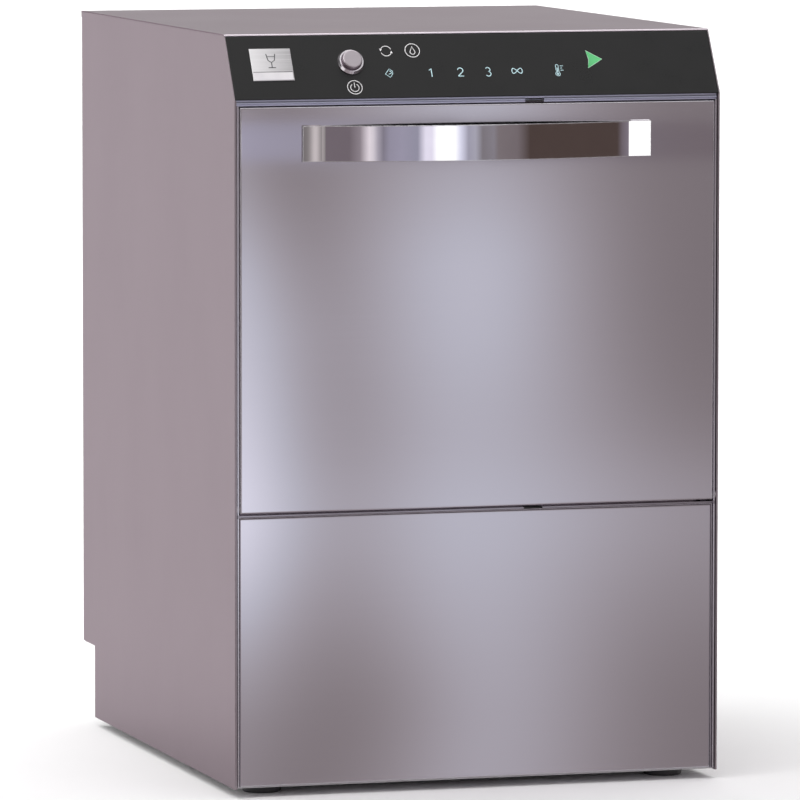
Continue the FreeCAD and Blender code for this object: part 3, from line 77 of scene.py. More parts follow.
# ---- mesh helpers --------------------------------------------------------------------------------
def mesh_object(name, points, faces, smooth=False):
    data = bpy.data.meshes.new(name)
    data.from_pydata([tuple(p) for p in points], [], faces)
    data.validate()
    data.update()
    for polygon in data.polygons:
        polygon.use_smooth = smooth
    obj = bpy.data.objects.new(name, data)
    bpy.context.scene.collection.objects.link(obj)
    return obj


def tube_faces(rings, sides):
    """Faces of a tube through that many rings of points, with closed ends."""
    faces = []
    for k in range(rings - 1):
        for n in range(sides):
            a, b = k * sides + n, k * sides + (n + 1) % sides
            faces.append((a, b, b + sides, a + sides))
    faces.append(tuple(reversed(range(sides))))
    last = (rings - 1) * sides
    faces.append(tuple(range(last, last + sides)))
    return faces


def grid_faces(columns, rows):
    """Faces of a grid of points that runs along its columns first."""
    faces = []
    for r in range(rows):
        for c in range(columns):
            a = r * (columns + 1) + c
            faces.append((a, a + 1, a + columns + 2, a + columns + 1))
    return faces


def turned_over(faces):
    return [tuple(reversed(face)) for face in faces]


def sweep(path, radius, sides):
    """Points and faces of a round wire along path, with closed ends."""
    points = []
    side = (path[1] - path[0]).orthogonal().normalized()
    for k, centre in enumerate(path):
        ahead = path[min(k + 1, len(path) - 1)] - path[max(k - 1, 0)]
        turned = ahead.normalized()
        side = (side - turned * side.dot(turned)).normalized()
        other = turned.cross(side)
        for n in range(sides):
            angle = 2 * math.pi * n / sides
            points.append(centre + (side * math.cos(angle) + other * math.sin(angle)) * radius)
    return points, tube_faces(len(path), sides)


def arc(centre_x, centre_up, radius, start, end, steps=24):
    """Points on an arc, angles in degrees, counter-clockwise from the right."""
    found = []
    for k in range(steps + 1):
        angle = math.radians(start + (end - start) * k / steps)
        found.append((centre_x + radius * math.cos(angle), centre_up + radius * math.sin(angle)))
    return found


def outline_solid(outline, low, high, points, faces):
    """Adds a flat solid on the control face: outline (x, up), from low to high out of it."""
    first = len(points)
    count = len(outline)
    points += [on_slope(x, up, low) for x, up in outline]
    points += [on_slope(x, up, high) for x, up in outline]
    faces.append(tuple(first + n for n in reversed(range(count))))
    faces.append(tuple(first + count + n for n in range(count)))
    for n in range(count):
        m = (n + 1) % count
        faces.append((first + n, first + m, first + count + m, first + count + n))


def stroke_solid(line, width, closed, low, high, points, faces):
    """Adds a ribbon of that width along line on the control face."""
    count = len(line)
    left, right = [], []
    for n in range(count):
        if closed:
            before, after = line[n - 1], line[(n + 1) % count]
        else:
            before, after = line[max(n - 1, 0)], line[min(n + 1, count - 1)]
        along = Vector((after[0] - before[0], after[1] - before[1])).normalized()
        normal = Vector((-along.y, along.x)) * (width / 2)
        left.append((line[n][0] + normal.x, line[n][1] + normal.y))
        right.append((line[n][0] - normal.x, line[n][1] - normal.y))
    first = len(points)
    for n in range(count):
        for (x, up), out in ((right[n], low), (left[n], low), (left[n], high), (right[n], high)):
            points.append(on_slope(x, up, out))
    for n in range(count if closed else count - 1):
        a, b = first + 4 * n, first + 4 * ((n + 1) % count)
        for c in range(4):
            d = (c + 1) % 4
            faces.append((a + c, b + c, b + d, a + d))
    if not closed:
        end = first + 4 * (count - 1)
        faces.append((first, first + 1, first + 2, first + 3))
        faces.append((end + 3, end + 2, end + 1, end))


# ---- materials -----------------------------------------------------------------------------------
BAND_FADE = 0.0008            # width over which a band of another tone fades out, in metres


class Shader:
    """Builds one node-based material around a Principled shader."""

    def __init__(self, name):
        self.material = bpy.data.materials.new(name)
        self.material.use_nodes = True
        self.tree = self.material.node_tree
        self.tree.nodes.clear()
        self.surface = self.add("ShaderNodeBsdfPrincipled")
        output = self.add("ShaderNodeOutputMaterial")
        self.join(self.surface.outputs["BSDF"], output.inputs["Surface"])
        self.coordinates = self.add("ShaderNodeTexCoord").outputs["Object"]
        self.soft_normal = None

    def add(self, kind):
        return self.tree.nodes.new(kind)

    def join(self, source, target):
        self.tree.links.new(source, target)

    def set(self, socket, value):
        self.surface.inputs[socket].default_value = value

    def noise(self, stretch, detail=3.0):
        """Noise between about 0.3 and 0.7, with that many cells per metre on x, y and z."""
        mapping = self.add("ShaderNodeMapping")
        mapping.inputs["Scale"].default_value = stretch
        self.join(self.coordinates, mapping.inputs["Vector"])
        texture = self.add("ShaderNodeTexNoise")
        texture.inputs["Scale"].default_value = 1.0
        texture.inputs["Detail"].default_value = detail
        self.join(mapping.outputs["Vector"], texture.inputs["Vector"])
        return texture.outputs["Fac"]

    def spread(self, value, low, high, from_low=0.3, from_high=0.7):
        """value, spread over low to high."""
        node = self.add("ShaderNodeMapRange")
        self.join(value, node.inputs["Value"])
        node.inputs["From Min"].default_value = from_low
        node.inputs["From Max"].default_value = from_high
        node.inputs["To Min"].default_value = low
        node.inputs["To Max"].default_value = high
        return node.outputs["Result"]

    def edge_wear_and_highlight(self, radius):
        """1 near a sharp edge and 0 on flat surface."""
        bevel = self.add("ShaderNodeBevel")
        bevel.samples = 4
        bevel.inputs["Radius"].default_value = radius
        geometry = self.add("ShaderNodeNewGeometry")
        dot = self.add("ShaderNodeVectorMath")
        dot.operation = "DOT_PRODUCT"
        self.soft_normal = bevel.outputs["Normal"]
        self.join(bevel.outputs["Normal"], dot.inputs[0])
        self.join(geometry.outputs["Normal"], dot.inputs[1])
        return self.spread(dot.outputs["Value"], 1.0, 0.0, 0.86, 0.99)

    def mix(self, factor, first, second):
        """A blend of two colours, each a colour or a socket."""
        node = self.add("ShaderNodeMix")
        node.data_type = "RGBA"
        self.join(factor, node.inputs["Factor"])
        for socket, value in ((node.inputs[6], first), (node.inputs[7], second)):
            if isinstance(value, tuple):
                socket.default_value = value + (1.0,)
            else:
                self.join(value, socket)
        return node.outputs[2]

    def combine(self, first, second, operation="ADD"):
        node = self.add("ShaderNodeMath")
        node.operation = operation
        for socket, value in ((node.inputs[0], first), (node.inputs[1], second)):
            if isinstance(value, (int, float)):
                socket.default_value = value
            else:
                self.join(value, socket)
        return node.outputs["Value"]

    def band(self, tone, axis, centre, half, colour):
        """tone, with a band of colour reaching half metres to each side of centre along that axis."""
        split = self.add("ShaderNodeSeparateXYZ")
        self.join(self.coordinates, split.inputs["Vector"])
        away = self.combine(self.combine(split.outputs[axis], centre, "SUBTRACT"), 0.0, "ABSOLUTE")
        return self.mix(self.spread(away, 1.0, 0.0, half, half + BAND_FADE), tone, colour)

    def bump(self, height, distance, strength=1.0):
        node = self.add("ShaderNodeBump")
        node.inputs["Strength"].default_value = strength
        node.inputs["Distance"].default_value = distance
        self.join(height, node.inputs["Height"])
        if self.soft_normal:
            self.join(self.soft_normal, node.inputs["Normal"])
        self.join(node.outputs["Normal"], self.surface.inputs["Normal"])

    def finish(self, colour, roughness):
        self.join(colour, self.surface.inputs["Base Color"])
        self.join(roughness, self.surface.inputs["Roughness"])
        return self.material


def shade(colour, factor):
    return tuple(min(1.0, c * factor) for c in colour)


def steel(name, colour, roughness, grain=(1600.0, 1600.0, 14.0), depth=0.000004, edge=0.0009, spread=0.02,
          contrast=0.02, rim=1.0, shine=1.35, band=()):
    """Brushed sheet: long fine grain, patchy gloss, and a painted highlight that makes its edges shine times
    as bright as the sheet.
    rim is its brightness at a low angle, and band what Shader.band needs after the tone."""
    s = Shader(name)
    s.set("Metallic", 1.0)
    s.set("Specular Tint", (rim, rim * 0.91, rim * 0.955, 1.0))
    fine = s.noise(grain, 2.0)
    patches = s.noise((9.0, 9.0, 6.0), 4.0)
    edges = s.edge_wear_and_highlight(edge)
    tone = s.mix(s.spread(fine, 0.0, 1.0), shade(colour, 1.0 - contrast), shade(colour, 1.0 + contrast))
    # painted highlight: the edges take a lighter tone than the sheet
    tone = s.mix(s.combine(edges, 0.7, "MULTIPLY"), tone, shade(colour, shine))
    if band:
        tone = s.band(tone, *band)
    gloss = s.spread(patches, roughness - spread, roughness + spread)
    rough = s.combine(s.spread(fine, -spread, spread), gloss)
    rough = s.combine(rough, s.combine(edges, -0.06, "MULTIPLY"))
    s.bump(fine, depth, 0.35)
    return s.finish(tone, rough)


def polished(name, colour, roughness, edge=0.0005):
    """Plated or polished metal: faint hazing and very fine lines."""
    s = Shader(name)
    s.set("Metallic", 1.0)
    haze = s.noise((55.0, 55.0, 55.0), 5.0)
    lines = s.noise((30.0, 300.0, 2600.0), 2.0)
    edges = s.edge_wear_and_highlight(edge)
    tone = s.mix(s.spread(haze, 0.0, 1.0), shade(colour, 0.975), shade(colour, 1.02))
    # painted highlight: the edges take a slightly lighter tone
    tone = s.mix(s.combine(edges, 0.4, "MULTIPLY"), tone, shade(colour, 1.1))
    rough = s.spread(haze, roughness * 0.7, roughness * 1.3)
    rough = s.combine(rough, s.spread(lines, 0.0, roughness * 0.3))
    s.bump(lines, 0.0000004, 0.15)
    return s.finish(tone, rough)


def moulded(name, colour, roughness, cells=900.0, depth=0.00003, specular=0.5, wear=0.5, edge=0.0007):
    """Moulded plastic or rubber: fine texture, blotchy sheen, pale worn edges."""
    s = Shader(name)
    s.set("Specular IOR Level", specular)
    texture = s.noise((cells, cells, cells), 3.0)
    blotches = s.noise((38.0, 38.0, 38.0), 4.0)
    edges = s.edge_wear_and_highlight(edge)
    tone = s.mix(s.spread(blotches, 0.0, 1.0), shade(colour, 0.9), shade(colour, 1.1))
    pale = tuple(c + (0.35 - c) * 0.25 if c < 0.35 else c * 1.04 for c in colour)
    tone = s.mix(s.combine(edges, wear, "MULTIPLY"), tone, pale)
    rough = s.combine(s.spread(blotches, roughness - 0.06, roughness + 0.06), s.spread(texture, -0.03, 0.03))
    s.bump(texture, depth, 0.4)
    return s.finish(tone, rough)


def painted(name, colour, roughness):
    """Sprayed enamel on a casting: orange peel and chipped edges."""
    s = Shader(name)
    peel = s.noise((420.0, 420.0, 420.0), 2.0)
    dust = s.noise((26.0, 26.0, 26.0), 5.0)
    edges = s.edge_wear_and_highlight(0.001)
    tone = s.mix(s.spread(dust, 0.0, 1.0), shade(colour, 0.86), shade(colour, 1.1))
    tone = s.mix(s.combine(edges, s.spread(dust, 0.1, 0.9), "MULTIPLY"), tone, (0.35, 0.34, 0.33))
    rough = s.spread(dust, roughness - 0.08, roughness + 0.1)
    s.bump(peel, 0.00006, 0.35)
    return s.finish(tone, rough)


def clear_hose(name):
    """Milky silicone tube."""
    s = Shader(name)
    s.set("Transmission Weight", 0.55)
    s.set("IOR", 1.41)
    cloud = s.noise((60.0, 60.0, 60.0), 4.0)
    tone = s.mix(s.spread(cloud, 0.0, 1.0), (0.74, 0.75, 0.72), (0.86, 0.86, 0.84))
    s.bump(cloud, 0.00004, 0.3)
    return s.finish(tone, s.spread(cloud, 0.28, 0.42))


def meshed(name, colour, roughness, pitch=0.0016):
    """Woven or etched fine strainer: a regular dark hole pattern."""
    s = Shader(name)
    s.set("Metallic", 1.0)
    cells = s.add("ShaderNodeTexVoronoi")
    cells.inputs["Scale"].default_value = 1.0 / pitch
    cells.inputs["Randomness"].default_value = 0.12
    s.join(s.coordinates, cells.inputs["Vector"])
    holes = s.spread(cells.outputs["Distance"], 1.0, 0.0, 0.22, 0.3)
    wear = s.noise((120.0, 120.0, 120.0), 3.0)
    tone = s.mix(s.spread(wear, 0.0, 1.0), shade(colour, 0.9), shade(colour, 1.08))
    tone = s.mix(holes, tone, shade(colour, 0.08))
    s.bump(s.combine(holes, -1.0, "MULTIPLY"), 0.0003, 0.6)
    return s.finish(tone, s.spread(wear, roughness - 0.05, roughness + 0.08))


# cells of brushed grain per metre, for grain that runs up, across or front to back
VERTICAL = (1500.0, 1500.0, 12.0)
ACROSS = (12.0, 1500.0, 1500.0)
DEEP = (1500.0, 12.0, 1500.0)

# tones that fit the light of the studio below
FRONT_TONE = (0.43, 0.412, 0.44)
CASING_TONE = (0.254, 0.22, 0.238)
TOP_TONE = (0.335, 0.275, 0.306)

finishes = {
    "casing_steel": steel("casing_steel", CASING_TONE, 0.34, VERTICAL, spread=0.012, contrast=0.012,
                          rim=0.75),
    "front_steel": steel("front_steel", FRONT_TONE, 0.085, ACROSS, 0.000001, 0.0008, 0.006, 0.006, 1.0, 1.5),
    "inner_steel": steel("inner_steel", (0.52, 0.51, 0.52), 0.3, DEEP),
    "handle_chrome": polished("handle_chrome", (0.5, 0.495, 0.505), 0.018, 0.0009),
    "fascia_black": moulded("fascia_black", (0.0055, 0.0055, 0.0057), 0.34, 1400.0, 0.000006, 0.32, 0.25),
    "badge_metal": steel("badge_metal", (0.62, 0.61, 0.63), 0.36, ACROSS),
    "button_chrome": polished("button_chrome", (0.56, 0.53, 0.56), 0.05),
    "button_satin": steel("button_satin", (0.37, 0.335, 0.36), 0.3, ACROSS, 0.000003, 0.0006),
    "circuit_green": moulded("circuit_green", (0.03, 0.16, 0.07), 0.32, 500.0, 0.00003),
    "black_plastic": moulded("black_plastic", (0.03, 0.03, 0.032), 0.42),
    "foot_plastic": moulded("foot_plastic", (0.028, 0.027, 0.029), 0.5, 600.0, 0.00005),
    "seal_rubber": moulded("seal_rubber", (0.024, 0.024, 0.025), 0.62, 500.0, 0.00005, 0.4),
    "spindle_plastic": moulded("spindle_plastic", (0.06, 0.13, 0.28), 0.38),
    "arm_steel": steel("arm_steel", (0.58, 0.57, 0.57), 0.22, ACROSS),
    "rack_plastic": moulded("rack_plastic", (0.06, 0.16, 0.42), 0.42, 700.0, 0.00004),
    "moulded_grey": moulded("moulded_grey", (0.2, 0.2, 0.21), 0.45),
    "filter_mesh": meshed("filter_mesh", (0.6, 0.59, 0.58), 0.3),
    "heater_steel": steel("heater_steel", (0.34, 0.31, 0.29), 0.38, DEEP, 0.000004, 0.0004),
    "bracket_steel": steel("bracket_steel", (0.5, 0.49, 0.48), 0.4, VERTICAL),
    "spring_steel": steel("spring_steel", (0.36, 0.35, 0.35), 0.3, VERTICAL, 0.000004, 0.0003),
    "fastener_steel": steel("fastener_steel", (0.55, 0.54, 0.53), 0.28, ACROSS, 0.000004, 0.0004),
    "motor_paint": painted("motor_paint", (0.05, 0.07, 0.1), 0.42),
    "boiler_steel": steel("boiler_steel", (0.5, 0.49, 0.48), 0.33, ACROSS),
    "valve_plastic": moulded("valve_plastic", (0.62, 0.62, 0.6), 0.4),
    "hose_rubber": moulded("hose_rubber", (0.03, 0.03, 0.03), 0.55, 300.0, 0.00008, 0.4),
    "hose_clear": clear_hose("hose_clear"),
}

for part in frame["record"]["subparts"]:
    node = frame["nodes"][part["node"]]
    node.data.materials.clear()
    node.data.materials.append(finishes[part["material_slot"]])


def dress(obj, material):
    """Gives a piece of the cabinet its material."""
    obj.data.materials.append(material)
    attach(obj, "cabinet")
    return obj


# painted highlight: the top has a brighter band along its front bend
BEND_HIGHLIGHT = ("Y", FRONT_Y + 0.0173, 0.0176, (0.68, 0.62, 0.67))
top_steel = steel("top_steel", TOP_TONE, 0.3, DEEP, 0.000004, 0.0014, 0.01, 0.01, 0.43, 1.3, BEND_HIGHLIGHT)
# painted shade: the frame has a darker band along the rail between the door and the lower panel
RAIL_SHADE = ("Z", UNDERSIDE_Z + 0.2472, 0.0012, (0.25, 0.23, 0.25))
frame_steel = steel("frame_steel", FRONT_TONE, 0.2, VERTICAL, band=RAIL_SHADE)
strip_steel = steel("strip_steel", (0.43, 0.44, 0.55), 0.36, ACROSS)
frame["nodes"]["top_panel"].data.materials[0] = top_steel
frame["nodes"]["front_frame"].data.materials[0] = frame_steel
frame["nodes"]["control_bracket"].data.materials[0] = strip_steel

# ---- printed signs on the control face -----------------------------------------------------------
# Places on the control face are (x, up the slope), in millimetres.
INK_LOW = -0.35
INK_HIGH = 0.06
LINE = 0.64
DIGIT_LINE = 0.85
FINE_LINE = 0.55
RING_RADIUS = 6.8
BUTTON_X = -115.7
REFRESH_X = -80.9
DROP_X = -56.0
THERMOMETER_X = 78.3

white_ink = moulded("white_ink", (0.95, 0.95, 0.95), 0.5, 1500.0, 0.000004, 0.3, 0.1, 0.0002)
teal_ink = moulded("teal_ink", (0.58, 0.84, 0.88), 0.5, 1500.0, 0.000004, 0.3, 0.1, 0.0002)
green_ink = moulded("green_ink", (0.12, 0.56, 0.21), 0.45, 1500.0, 0.000004, 0.3, 0.1, 0.0002)
pale_ink = moulded("pale_ink", (0.5, 0.72, 0.56), 0.5, 1500.0, 0.000004, 0.3, 0.1, 0.0002)


def sign(name, material, strokes=(), solids=(), high=INK_HIGH):
    """One printed sign from lines (points, width, closed) and filled outlines."""
    points, faces = [], []
    for line, width, closed in strokes:
        stroke_solid(line, width, closed, INK_LOW, high, points, faces)
    for outline in solids:
        outline_solid(outline, INK_LOW, high, points, faces)
    return dress(mesh_object(name, points, faces), material)


def ring(x, up, radius):
    return arc(x, up, radius, 0, 360, 48)[:-1]


def turned(line, x, up, angle):
    c, s = math.cos(math.radians(angle)), math.sin(math.radians(angle))
    return [(x + a * c - b * s, up + a * s + b * c) for a, b in line]


sign("sign_power", white_ink, [
    (ring(BUTTON_X, 12.2, RING_RADIUS), LINE, True),
    (arc(BUTTON_X, 11.9, 3.9, 122, 418), LINE, False),
    ([(BUTTON_X, 11.9), (BUTTON_X, 17.0)], LINE, False),
])
sign("sign_refresh", white_ink, [
    (arc(REFRESH_X, 48.8, 5.0, 20, 160), LINE, False),
    (arc(REFRESH_X, 48.8, 5.0, 200, 340), LINE, False),
], [
    [(REFRESH_X - 3.7, 50.6), (REFRESH_X - 6.1, 51.3), (REFRESH_X - 5.1, 48.6)],
    [(REFRESH_X + 3.7, 47.0), (REFRESH_X + 6.1, 46.3), (REFRESH_X + 5.1, 49.0)],
])
sign("sign_drop", white_ink, [
    (ring(DROP_X, 49.0, RING_RADIUS), LINE, True),
    ([(DROP_X, 53.2)] + arc(DROP_X, 47.4, 2.3, 35, -215, 20), LINE, True),
])
bottle = [(-2.7, -3.2), (2.7, -3.2), (2.7, 1.2), (1.0, 3.6), (-2.7, 3.6)]
bottle_mark = arc(-0.2, 1.0, 1.3, 150, -40, 10) + [(-0.2, -1.4)]
sign("sign_rinse", teal_ink, [
    (turned(bottle, REFRESH_X, 26.0, -38), LINE, True),
    (turned(bottle_mark, REFRESH_X, 26.0, -38), LINE, False),
])
sign("sign_one", teal_ink, [
    ([(-41.3, 21.8), (-41.3, 30.2)], 0.95, False),
    ([(-41.3, 30.0), (-43.4, 28.4)], 0.8, False),
])
sign("sign_two", teal_ink, [
    (arc(-14.0, 27.9, 2.5, 165, -38, 18) + [(-16.5, 22.2)], DIGIT_LINE, False),
    ([(-16.8, 22.1), (-11.2, 22.1)], DIGIT_LINE, False),
])
sign("sign_three", teal_ink, [
    (arc(12.2, 28.3, 2.1, 150, -90, 18), DIGIT_LINE, False),
    (arc(12.2, 24.0, 2.4, 90, -150, 18), DIGIT_LINE, False),
])
endless = []
for k in range(64):
    t = 2 * math.pi * k / 64
    endless.append((39.8 + 4.9 * math.sin(t), 26.6 + 2.6 * math.sin(2 * t)))
sign("sign_endless", teal_ink, [(endless, 0.75, True)])
tube = arc(THERMOMETER_X, 31.2, 1.25, 0, 180, 12) + [(THERMOMETER_X - 1.25, 24.6)]
tube += arc(THERMOMETER_X, 22.9, 2.1, 126, 414, 20)
sign("sign_thermometer", teal_ink, [
    (tube, FINE_LINE, True),
    ([(THERMOMETER_X, 22.9), (THERMOMETER_X, 29.4)], 0.8, False),
    ([(THERMOMETER_X + 2.9, 31.0), (THERMOMETER_X + 5.9, 31.0)], FINE_LINE, False),
    ([(THERMOMETER_X + 2.9, 28.8), (THERMOMETER_X + 4.7, 28.8)], FINE_LINE, False),
    ([(THERMOMETER_X + 2.9, 26.6), (THERMOMETER_X + 5.9, 26.6)], FINE_LINE, False),
], [ring(THERMOMETER_X, 22.9, 1.1)])
arrow = [(108.0, 46.5), (122.6, 37.4), (108.0, 28.4), (109.7, 37.4)]
sign("sign_arrow", green_ink, (), [arrow])
sign("sign_arrow_border", pale_ink, [(arrow, FINE_LINE, True)], (), INK_HIGH + 0.04)

# ---- name plate ----------------------------------------------------------------------------------
PLATE_LEFT, PLATE_RIGHT = -209.2, -170.8
PLATE_LOW = 19.8
PLATE_OUT = 0.8
PLATE_SINK = 0.3              # how deep its printed pieces reach into it
BAND_MARGIN = 0.9
BAND_TOP = 28.2
RULE_UP = 28.6
GLASS_X = -190.0
label_white = moulded("label_white", (0.78, 0.77, 0.79), 0.45, 1200.0, 0.000006, 0.4, 0.2, 0.0003)
label_ink = moulded("label_ink", (0.05, 0.05, 0.055), 0.5, 1200.0, 0.000004, 0.3, 0.2, 0.0002)


def plate_metal(name):
    """Brushed metal with painted light: its tone falls off from its left end to its right."""
    s = Shader(name)
    s.set("Metallic", 1.0)
    fine = s.noise(ACROSS, 2.0)
    split = s.add("ShaderNodeSeparateXYZ")
    s.join(s.coordinates, split.inputs["Vector"])
    across = s.spread(split.outputs["X"], 0.0, 1.0, PLATE_LEFT * 0.001, PLATE_RIGHT * 0.001)
    s.edge_wear_and_highlight(0.0004)
    # painted light: the plate is lighter at its left end and darker at its right
    tone = s.mix(across, (0.66, 0.65, 0.66), (0.33, 0.32, 0.33))
    tone = s.mix(s.spread(fine, 0.0, 0.3), tone, (0.8, 0.78, 0.8))
    s.bump(fine, 0.000004, 0.3)
    return s.finish(tone, s.spread(fine, 0.28, 0.42))


frame["nodes"]["nameplate"].data.materials[0] = plate_metal("plate_metal")


def badge_piece(name, material, strokes, solids, out):
    """One printed piece of the name plate, standing out of it by that much."""
    points, faces = [], []
    low, high = PLATE_OUT - PLATE_SINK, PLATE_OUT + out
    for line, width, closed in strokes:
        stroke_solid(line, width, closed, low, high, points, faces)
    for outline in solids:
        outline_solid(outline, low, high, points, faces)
    return dress(mesh_object(name, points, faces), material)


band_left, band_right = PLATE_LEFT + BAND_MARGIN, PLATE_RIGHT - BAND_MARGIN
band_low = PLATE_LOW + BAND_MARGIN
band_outline = [(band_left, band_low), (band_right, band_low), (band_right, BAND_TOP), (band_left, BAND_TOP)]
badge_piece("badge_band", label_white, (), [band_outline], 0.05)
badge_piece("badge_rule", label_ink, [([(band_left, RULE_UP), (band_right, RULE_UP)], 0.5, False)], (), 0.08)
bowl = [(GLASS_X - 4.2, 47.0), (GLASS_X - 3.0, 40.4), (GLASS_X, 38.2), (GLASS_X + 3.0, 40.4),
        (GLASS_X + 4.2, 47.0)]
badge_piece("badge_glass", label_ink, [
    (bowl, 0.8, False),
    ([(GLASS_X, 38.2), (GLASS_X, 33.2)], 0.8, False),
    ([(GLASS_X - 3.4, 33.0), (GLASS_X + 3.4, 33.0)], 0.8, False),
    ([(GLASS_X - 3.7, 44.2), (GLASS_X + 3.7, 44.2)], 0.5, False),
], (), 0.08)

# ---- rubber bumper under the door ----------------------------------------------------------------
BUMPER_LEFT, BUMPER_RIGHT = 44.6, 61.6
BUMPER_FRONT, BUMPER_BACK = 5.0, 13.0
BUMPER_LOW, BUMPER_HIGH = 245.6, 247.75
BUMPER_RIBS = 9
BUMPER_WAVE = 0.3             # height of a rib over the middle, and of the bevel beside it
BUMPER_BEVEL = 0.6


def bumper():
    """Ribbed rubber pad pressed into the slot of the rail under the door."""
    points = []
    steps = BUMPER_RIBS * 4
    for k in range(steps + 1):
        x = BUMPER_LEFT + (BUMPER_RIGHT - BUMPER_LEFT) * k / steps
        crest = BUMPER_HIGH + BUMPER_WAVE * math.cos(2 * math.pi * k / 4)
        shoulder = crest - BUMPER_WAVE
        section = [(BUMPER_FRONT, BUMPER_LOW), (BUMPER_FRONT, shoulder),
                   (BUMPER_FRONT + BUMPER_BEVEL, crest), (BUMPER_BACK - BUMPER_BEVEL, crest),
                   (BUMPER_BACK, shoulder), (BUMPER_BACK, BUMPER_LOW)]
        points += [place(x, y, z) for y, z in section]
    return mesh_object("door_bumper", points, turned_over(tube_faces(steps + 1, len(section))))


dress(bumper(), finishes["seal_rubber"])

# ---- beads that close the gaps beside the door and round the lower panel -------------------------
def bead(name, path, half_width, front, back):
    """A rounded strip through path (x, z, which way is outward in x, and in z), with mitred corners."""
    profile = [(-half_width, back), (-half_width, front + 0.5), (-half_width * 0.4, front),
               (half_width * 0.4, front), (half_width, front + 0.5), (half_width, back)]
    points = []
    for x, z, out_x, out_z in path:
        for offset, y in profile:
            points.append(place(x + out_x * offset, y, z + out_z * offset))
    return mesh_object(name, points, tube_faces(len(path), len(profile)))


# painted shade: the beads are grey stand-ins for the shade seen in the gaps beside the door and round the
# lower panel
gap_shade_grey = moulded("gap_shade_grey", (0.34, 0.31, 0.34), 0.5, 800.0, 0.00003, 0.4)
GAP_BEAD_X, GAP_BEAD_LOW, GAP_BEAD_HIGH = 225.2, 1.9, 245.9
gap_bead_path = [(-GAP_BEAD_X, GAP_BEAD_LOW, -1, 0), (-GAP_BEAD_X, GAP_BEAD_HIGH, -1, 1), (GAP_BEAD_X, GAP_BEAD_HIGH, 1, 1),
             (GAP_BEAD_X, GAP_BEAD_LOW, 1, 0)]
dress(bead("lower_panel_gap_bead", gap_bead_path, 0.42, 3.9, 8.6), gap_shade_grey)
POST_BEAD_X, POST_BEAD_LOW, POST_BEAD_HIGH = 225.45, 251.0, 615.0
for side_name, side in (("left", -1), ("right", 1)):
    post_x = side * POST_BEAD_X
    post_path = [(post_x, POST_BEAD_LOW, side, 0), (post_x, POST_BEAD_HIGH, side, 0)]
    dress(bead("door_post_bead_" + side_name, post_path, 0.3, 0.7, 6.0), gap_shade_grey)

# ---- door springs --------------------------------------------------------------------------------
SPRING_X = 220.5
SPRING_Y = 58.0
SPRING_WIRE = 1.1
SPRING_COIL = 5.6
SPRING_TURNS = 62
SPRING_LOW, SPRING_HIGH = 64.0, 218.0
HOOK_LOW, HOOK_HIGH = 29.0, 250.65
HOOK_RADIUS = 2.2
HOOK_STRETCH = 2.6            # how many times taller than wide a hook is
HOOK_STEPS = 12


def hook(x, z, start):
    """Three quarters of a tall loop round z, from start degrees on."""
    path = []
    for k in range(HOOK_STEPS + 1):
        angle = math.radians(start + 270 * k / HOOK_STEPS)
        up = z + HOOK_RADIUS * HOOK_STRETCH * math.sin(angle)
        path.append(place(x + HOOK_RADIUS * math.cos(angle), SPRING_Y, up))
    return path


def spring(name, x):
    """Close-wound wire spring with a hook at each end."""
    path = hook(x, HOOK_LOW, -200)
    steps = 14
    for k in range(SPRING_TURNS * steps + 1):
        angle = 2 * math.pi * k / steps
        z = SPRING_LOW + (SPRING_HIGH - SPRING_LOW) * k / (SPRING_TURNS * steps)
        path.append(place(x + SPRING_COIL * math.cos(angle), SPRING_Y + SPRING_COIL * math.sin(angle), z))
    path += hook(x, HOOK_HIGH, -70)
    points, faces = sweep(path, SPRING_WIRE * 0.001, 8)
    obj = mesh_object(name, points, faces, True)
    obj.data.materials.append(finishes["spring_steel"])
    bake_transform(obj)
    return obj


for side_name, side_x in (("left", -SPRING_X), ("right", SPRING_X)):
    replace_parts(spring("door_spring_" + side_name, side_x), "door_springs")

# ---- studio --------------------------------------------------------------------------------------
# A lit screen close in front of the machine shapes the soft glow in the door. The handle looks through
# a slit in it at a row of strip lights further out, and each of its flat feet at a small card of its own.
# All of these are placed for the camera below, which sees them only in reflections.
CAMERA = Vector((-2.04511, -6.77071, 1.00504))
SCREEN_GAP = 0.55
LIGHTS_GAP = 5.0
HANDLE_X = -0.002
HANDLE_Z = UNDERSIDE_Z + 0.58255
HANDLE_ARC = 0.1468           # half the length of its bowed part
HANDLE_FOOT = 0.018
HANDLE_BOW = 0.023
HANDLE_THICK = 0.002
HANDLE_TURN = 17.8            # how far its ends face aside, in degrees
CARD_GAP = 0.005              # from a foot of the handle to its card
CARD_SHIFT = 0.0016           # how far a card is moved across to where the camera sees it in the foot
CARD_HALF_HEIGHT = 0.0165
SLIT_HALF_HEIGHT = 0.0185


def bell(value, centre, width):
    return math.exp(-((value - centre) / width) ** 2)


def turned_back(point, facing, gap):
    """(x, z) where the camera's line of sight, mirrored at point, crosses the plane gap before the door."""
    sight = (point - CAMERA).normalized()
    normal = Vector((math.sin(facing), -math.cos(facing), 0.0))
    back = sight - normal * (2 * sight.dot(normal))
    reach = (FRONT_Y - gap - point.y) / back.y
    return point.x + back.x * reach, point.z + back.z * reach


def handle_sight(along, gap):
    """The same for a place on the handle's bowed part, from -1 at its left end to 1 at its right."""
    stand = HANDLE_THICK + HANDLE_BOW * (1 - along * along)
    point = Vector((HANDLE_X + HANDLE_ARC * along, FRONT_Y - stand, HANDLE_Z))
    return turned_back(point, math.radians(HANDLE_TURN * along), gap)


